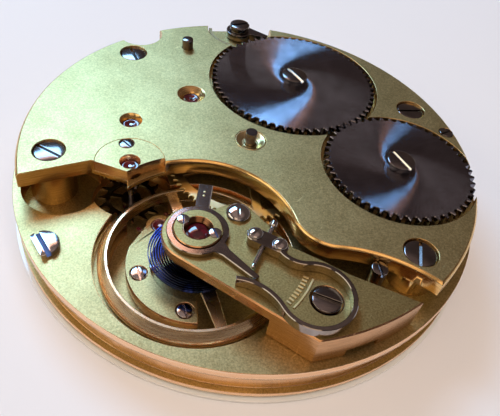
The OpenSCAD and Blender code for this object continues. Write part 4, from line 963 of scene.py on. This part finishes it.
def rim_pin():
    """A steel pin with an eased top."""
    top, bottom = high("rim_pin").z, low("rim_pin").z
    radius = half_width("rim_pin")
    profile = [*flat_head(radius, top, edge=0.1), (radius, bottom), (0, bottom)]
    piece = turned("rim_pin_turned", profile, middle("rim_pin"), steps=48)
    settle(piece, SCREW_STEEL, "rim_pin")


jewels()
rim_pin()


# Wheels of the train


def train_wheel(node, centre, count, phase, rim_w, hub_r, arm_w, arms=5):
    """A thin crossed-out wheel with fine teeth."""
    bottom, top = low(node).z, high(node).z
    tip_r = half_width(node)
    inner = tip_r - tooth_depth(tip_r, count) - rim_w
    out, back = (math.degrees(math.asin(arm_w / 2 / r)) for r in (inner, hub_r))
    holes = []
    for i in range(arms):
        start, end = phase + 360 * i / arms, phase + 360 * (i + 1) / arms
        rim_side = arc(centre, inner, start + out, end - out, 16)
        hub_side = arc(centre, hub_r, end - back, start + back, 6)
        holes.append(rim_side + hub_side)
    outline = toothed(centre, count, tip_r, phase)
    piece = plate(node + "_crossed", outline, bottom, top, chamfer=0.03, holes=holes)
    return settle(piece, BRASS, node, smooth=40)


train_wheel("centre_wheel", CENTRE, count=80, phase=heading(CENTRE, THIRD),
            rim_w=0.75, hub_r=2.1, arm_w=0.8)
train_wheel("third_wheel", THIRD, count=75, phase=heading(THIRD, FOURTH),
            rim_w=0.6, hub_r=1.4, arm_w=0.6)
train_wheel("fourth_wheel", FOURTH, count=80, phase=heading(FOURTH, ESCAPE),
            rim_w=0.5, hub_r=1.2, arm_w=0.5)


# Dial, seen from below: twelve o'clock at the stem, read with +X up and +Y to the right


DIAL_FACE, DIAL_BACK = 0.02, 0.35
DIAL_FEET_AT = Vector((16.5, 5.6)), Vector((-16.5, -5.6))
HOUR_R, HOUR_SIZE = 16.6, 4.6
MINUTE_IN, MINUTE_OUT, MINUTE_W = 20.3, 21.1, 0.12
SECONDS_IN, SECONDS_OUT, SECONDS_W = 5.0, 5.6, 0.07
SECONDS_R, SECONDS_SIZE = 4.0, 1.3
RING_HALF = 0.05
LONG_STROKE = 2.2


def dial_plate():
    """White enamel with a rounded edge, two feet and a hole for each hand's arbor."""
    radius, foot_top = half_width("dial"), high("dial").z
    hour_hole, hole_edge, seconds_hole, foot_r, foot_edge = 1.2, 0.06, 0.45, 0.45, 0.05
    hole = [(hour_hole, DIAL_BACK), (hour_hole, DIAL_FACE + hole_edge), (hour_hole + hole_edge, DIAL_FACE)]
    rim = [(radius - 0.3, DIAL_FACE), (radius - 0.1, DIAL_FACE + 0.04), (radius, DIAL_FACE + 0.14),
           (radius, DIAL_BACK)]
    piece = turned("dial_enamel", hole + rim, CENTRE, steps=160, ring=True)
    drill(piece, FOURTH, seconds_hole, 0, DIAL_BACK, steps=32)
    foot = [(0, foot_top), (foot_r - foot_edge, foot_top), (foot_r, foot_top - foot_edge),
            (foot_r, DIAL_BACK - PAST), (0, DIAL_BACK - PAST)]
    for at in DIAL_FEET_AT:
        join(piece, turned("foot", foot, at, steps=24))
    return settle(piece, ENAMEL, "dial")


def numeral(text, at, size):
    """A plain number painted on the dial's face, upright for a reader below."""
    letters = bpy.data.curves.new("numeral", "FONT")
    letters.body = text
    letters.size = size
    letters.align_x, letters.align_y = "CENTER", "CENTER"
    letters.extrude = DIAL_FACE / 2
    letters.resolution_u = 4
    piece = bpy.data.objects.new("numeral", letters)
    bpy.context.collection.objects.link(piece)
    pick(piece)
    bpy.ops.object.convert(target="MESH")
    rows = (0, 1, 0, at[0]), (1, 0, 0, at[1]), (0, 0, -1, DIAL_FACE / 2), (0, 0, 0, 1)
    piece.matrix_world = Matrix(rows)
    bpy.ops.object.transform_apply(location=True, rotation=True, scale=True)
    return mend(piece)


def track(centre, inner, outer, width, long_step):
    """Sixty painted strokes round a circle, broader at every long step."""
    strokes = []
    for i in range(60):
        broad = width * (LONG_STROKE if i % long_step == 0 else 1)
        ends = polar(centre, inner, 6 * i), polar(centre, outer, 6 * i)
        strokes.append(bar("stroke", *ends, broad, 0, DIAL_FACE))
    return strokes


def dial_markings():
    """Hours, minutes and running seconds in black; the seconds take the place of the six."""
    marks = [numeral(str(h), polar(CENTRE, HOUR_R, 30 * h), HOUR_SIZE) for h in range(1, 13) if h != 6]
    marks += [numeral(str(t), polar(FOURTH, SECONDS_R, 6 * t), SECONDS_SIZE) for t in range(10, 70, 10)]
    marks += track(CENTRE, MINUTE_IN, MINUTE_OUT, MINUTE_W, long_step=5)
    marks += track(FOURTH, SECONDS_IN, SECONDS_OUT, SECONDS_W, long_step=10)
    for centre, r in ((CENTRE, MINUTE_OUT), (CENTRE, MINUTE_IN), (FOURTH, SECONDS_OUT)):
        inner, outer = r - RING_HALF, r + RING_HALF
        ring = [(inner, 0), (outer, 0), (outer, DIAL_FACE), (inner, DIAL_FACE)]
        marks.append(turned("ring", ring, centre, steps=120, ring=True))
    pick(marks[0])
    for mark in marks[1:]:
        mark.select_set(True)
    bpy.ops.object.join()
    marks[0].name = "dial_markings"
    return settle(marks[0], INK, body="frame")


dial_plate()
dial_markings()

# Broken edges of the solids that are kept, in millimetres
EASED = {
    "main_plate": 0.05,
    "train_bridge": 0.05,
    "escape_cock": 0.02,
    "pallet_bridge": 0.06,
    "centre_bush": 0.04,
    "click": 0.05,
}
for node, width in EASED.items():
    ease(node, width)


# Camera, light and floor


CAMERA_FOCAL_PX = 560.741
CAMERA_CENTRE_PX = (224.437, 189.06)
CAMERA_TURN = math.radians(-3.6727)
CAMERA_RISE = math.radians(45.09)
CAMERA_ROLL = math.radians(7.74)
CAMERA_AIM = Vector((-1.844, 0.389, 0))
CAMERA_DISTANCE = 58.488
PHOTO_W, PHOTO_H = 500, 416
# The floor's side in metres, and the gap under the dial in millimetres
FLOOR_SIZE, FLOOR_GAP = 0.7, 0.01


def camera():
    """The photograph's own camera, fitted to the rims of the plates."""
    level = math.cos(CAMERA_RISE)
    ahead = Vector((math.sin(CAMERA_TURN) * level, math.cos(CAMERA_TURN) * level, -math.sin(CAMERA_RISE)))
    right = ahead.cross(Vector((0, 0, 1))).normalized()
    up = right.cross(ahead)
    cosine, sine = math.cos(CAMERA_ROLL), math.sin(CAMERA_ROLL)
    right, up = cosine * right + sine * up, cosine * up - sine * right
    lens = bpy.data.cameras.new("camera")
    lens.sensor_fit = "HORIZONTAL"
    lens.sensor_width = 36
    lens.lens = CAMERA_FOCAL_PX * lens.sensor_width / PHOTO_W
    lens.shift_x = (PHOTO_W / 2 - CAMERA_CENTRE_PX[0]) / PHOTO_W
    lens.shift_y = (CAMERA_CENTRE_PX[1] - PHOTO_H / 2) / PHOTO_W
    lens.clip_start = 0.001
    eye = bpy.data.objects.new("camera", lens)
    bpy.context.collection.objects.link(eye)
    turn = Matrix((right, up, -ahead)).transposed().to_4x4()
    eye.matrix_world = Matrix.Translation((CAMERA_AIM - CAMERA_DISTANCE * ahead) * MM) @ turn
    bpy.context.scene.camera = eye


def softbox(name, azimuth, elevation, distance, width, height, radiance, colour, mirrored=True):
    """A panel light that faces the movement; azimuth 0 stands behind it and 90 on its left."""
    lamp = bpy.data.lights.new(name, "AREA")
    lamp.shape = "RECTANGLE"
    lamp.size, lamp.size_y = width, height
    lamp.energy = radiance * math.pi * width * height
    lamp.color = colour
    turn, rise = math.radians(azimuth), math.radians(elevation)
    way = Vector((-math.sin(turn) * math.cos(rise), math.cos(turn) * math.cos(rise), math.sin(rise)))
    panel = bpy.data.objects.new(name, lamp)
    panel.location = way * distance
    panel.visible_glossy = mirrored
    panel.rotation_euler = way.to_track_quat("Z", "Y").to_euler()
    bpy.context.collection.objects.link(panel)


# The room by the sine of elevation: pale at the horizon, dim and warm above it, lighter at the ceiling
HORIZON, CEILING = (0.04, 0.12), (0.75, 0.97)
DIM_ROOM, CEILING_GLOW, HORIZON_GLOW = 0.1, 0.26, 0.6
WARM_ROOM, PALE_ROOM = (1.0, 0.67, 0.54), (1.0, 0.95, 0.92)


def stage():
    """A plain pale floor just under the dial, and a room that is pale at the horizon and dim above."""
    bpy.ops.object.select_all(action="DESELECT")
    under = (0, 0, -FLOOR_GAP * MM)
    bpy.ops.mesh.primitive_grid_add(x_subdivisions=8, y_subdivisions=8, size=FLOOR_SIZE, location=under)
    floor = bpy.context.object
    floor.name = "floor"
    paper = Finish("floor_paper", roughness=0.7)
    cloud = paper.noise(paper.place(), 0.02, 3.0)
    paper.set(base_color=paper.mix(cloud, (0.78, 0.75, 0.74), (0.83, 0.80, 0.79)))
    floor.data.materials.append(paper.material)
    room = Finish("room", bpy.data.worlds, "Background")
    rise = room.parts(room.node("ShaderNodeTexCoord", output="Generated"))[2]
    horizon = 1 - rise.step(*HORIZON)
    room.set(strength=DIM_ROOM + rise.step(*CEILING) * CEILING_GLOW + horizon * HORIZON_GLOW)
    room.set(color=room.mix(horizon, WARM_ROOM, PALE_ROOM))
    bpy.context.scene.world = room.material


camera()
softbox("window", azimuth=39, elevation=44.6, distance=0.4, width=0.26, height=0.108,
        radiance=12.6, colour=(0.31, 0.63, 1.0))
softbox("sunset", azimuth=39, elevation=55.5, distance=0.4, width=0.26, height=0.04,
        radiance=3.0, colour=(1.0, 0.5, 0.3))
softbox("lamp", azimuth=112, elevation=33, distance=0.45, width=0.42, height=0.18,
        radiance=1.6, colour=(1.0, 0.85, 0.62))
softbox("front", azimuth=182, elevation=47, distance=0.5, width=0.34, height=0.3,
        radiance=1.1, colour=(1.0, 0.70, 0.45))
softbox("overhead", azimuth=200, elevation=76, distance=0.6, width=0.5, height=0.5,
        radiance=2.7, colour=(1.0, 0.95, 0.9), mirrored=False)
stage()
bpy.context.scene.view_settings.view_transform = "Standard"
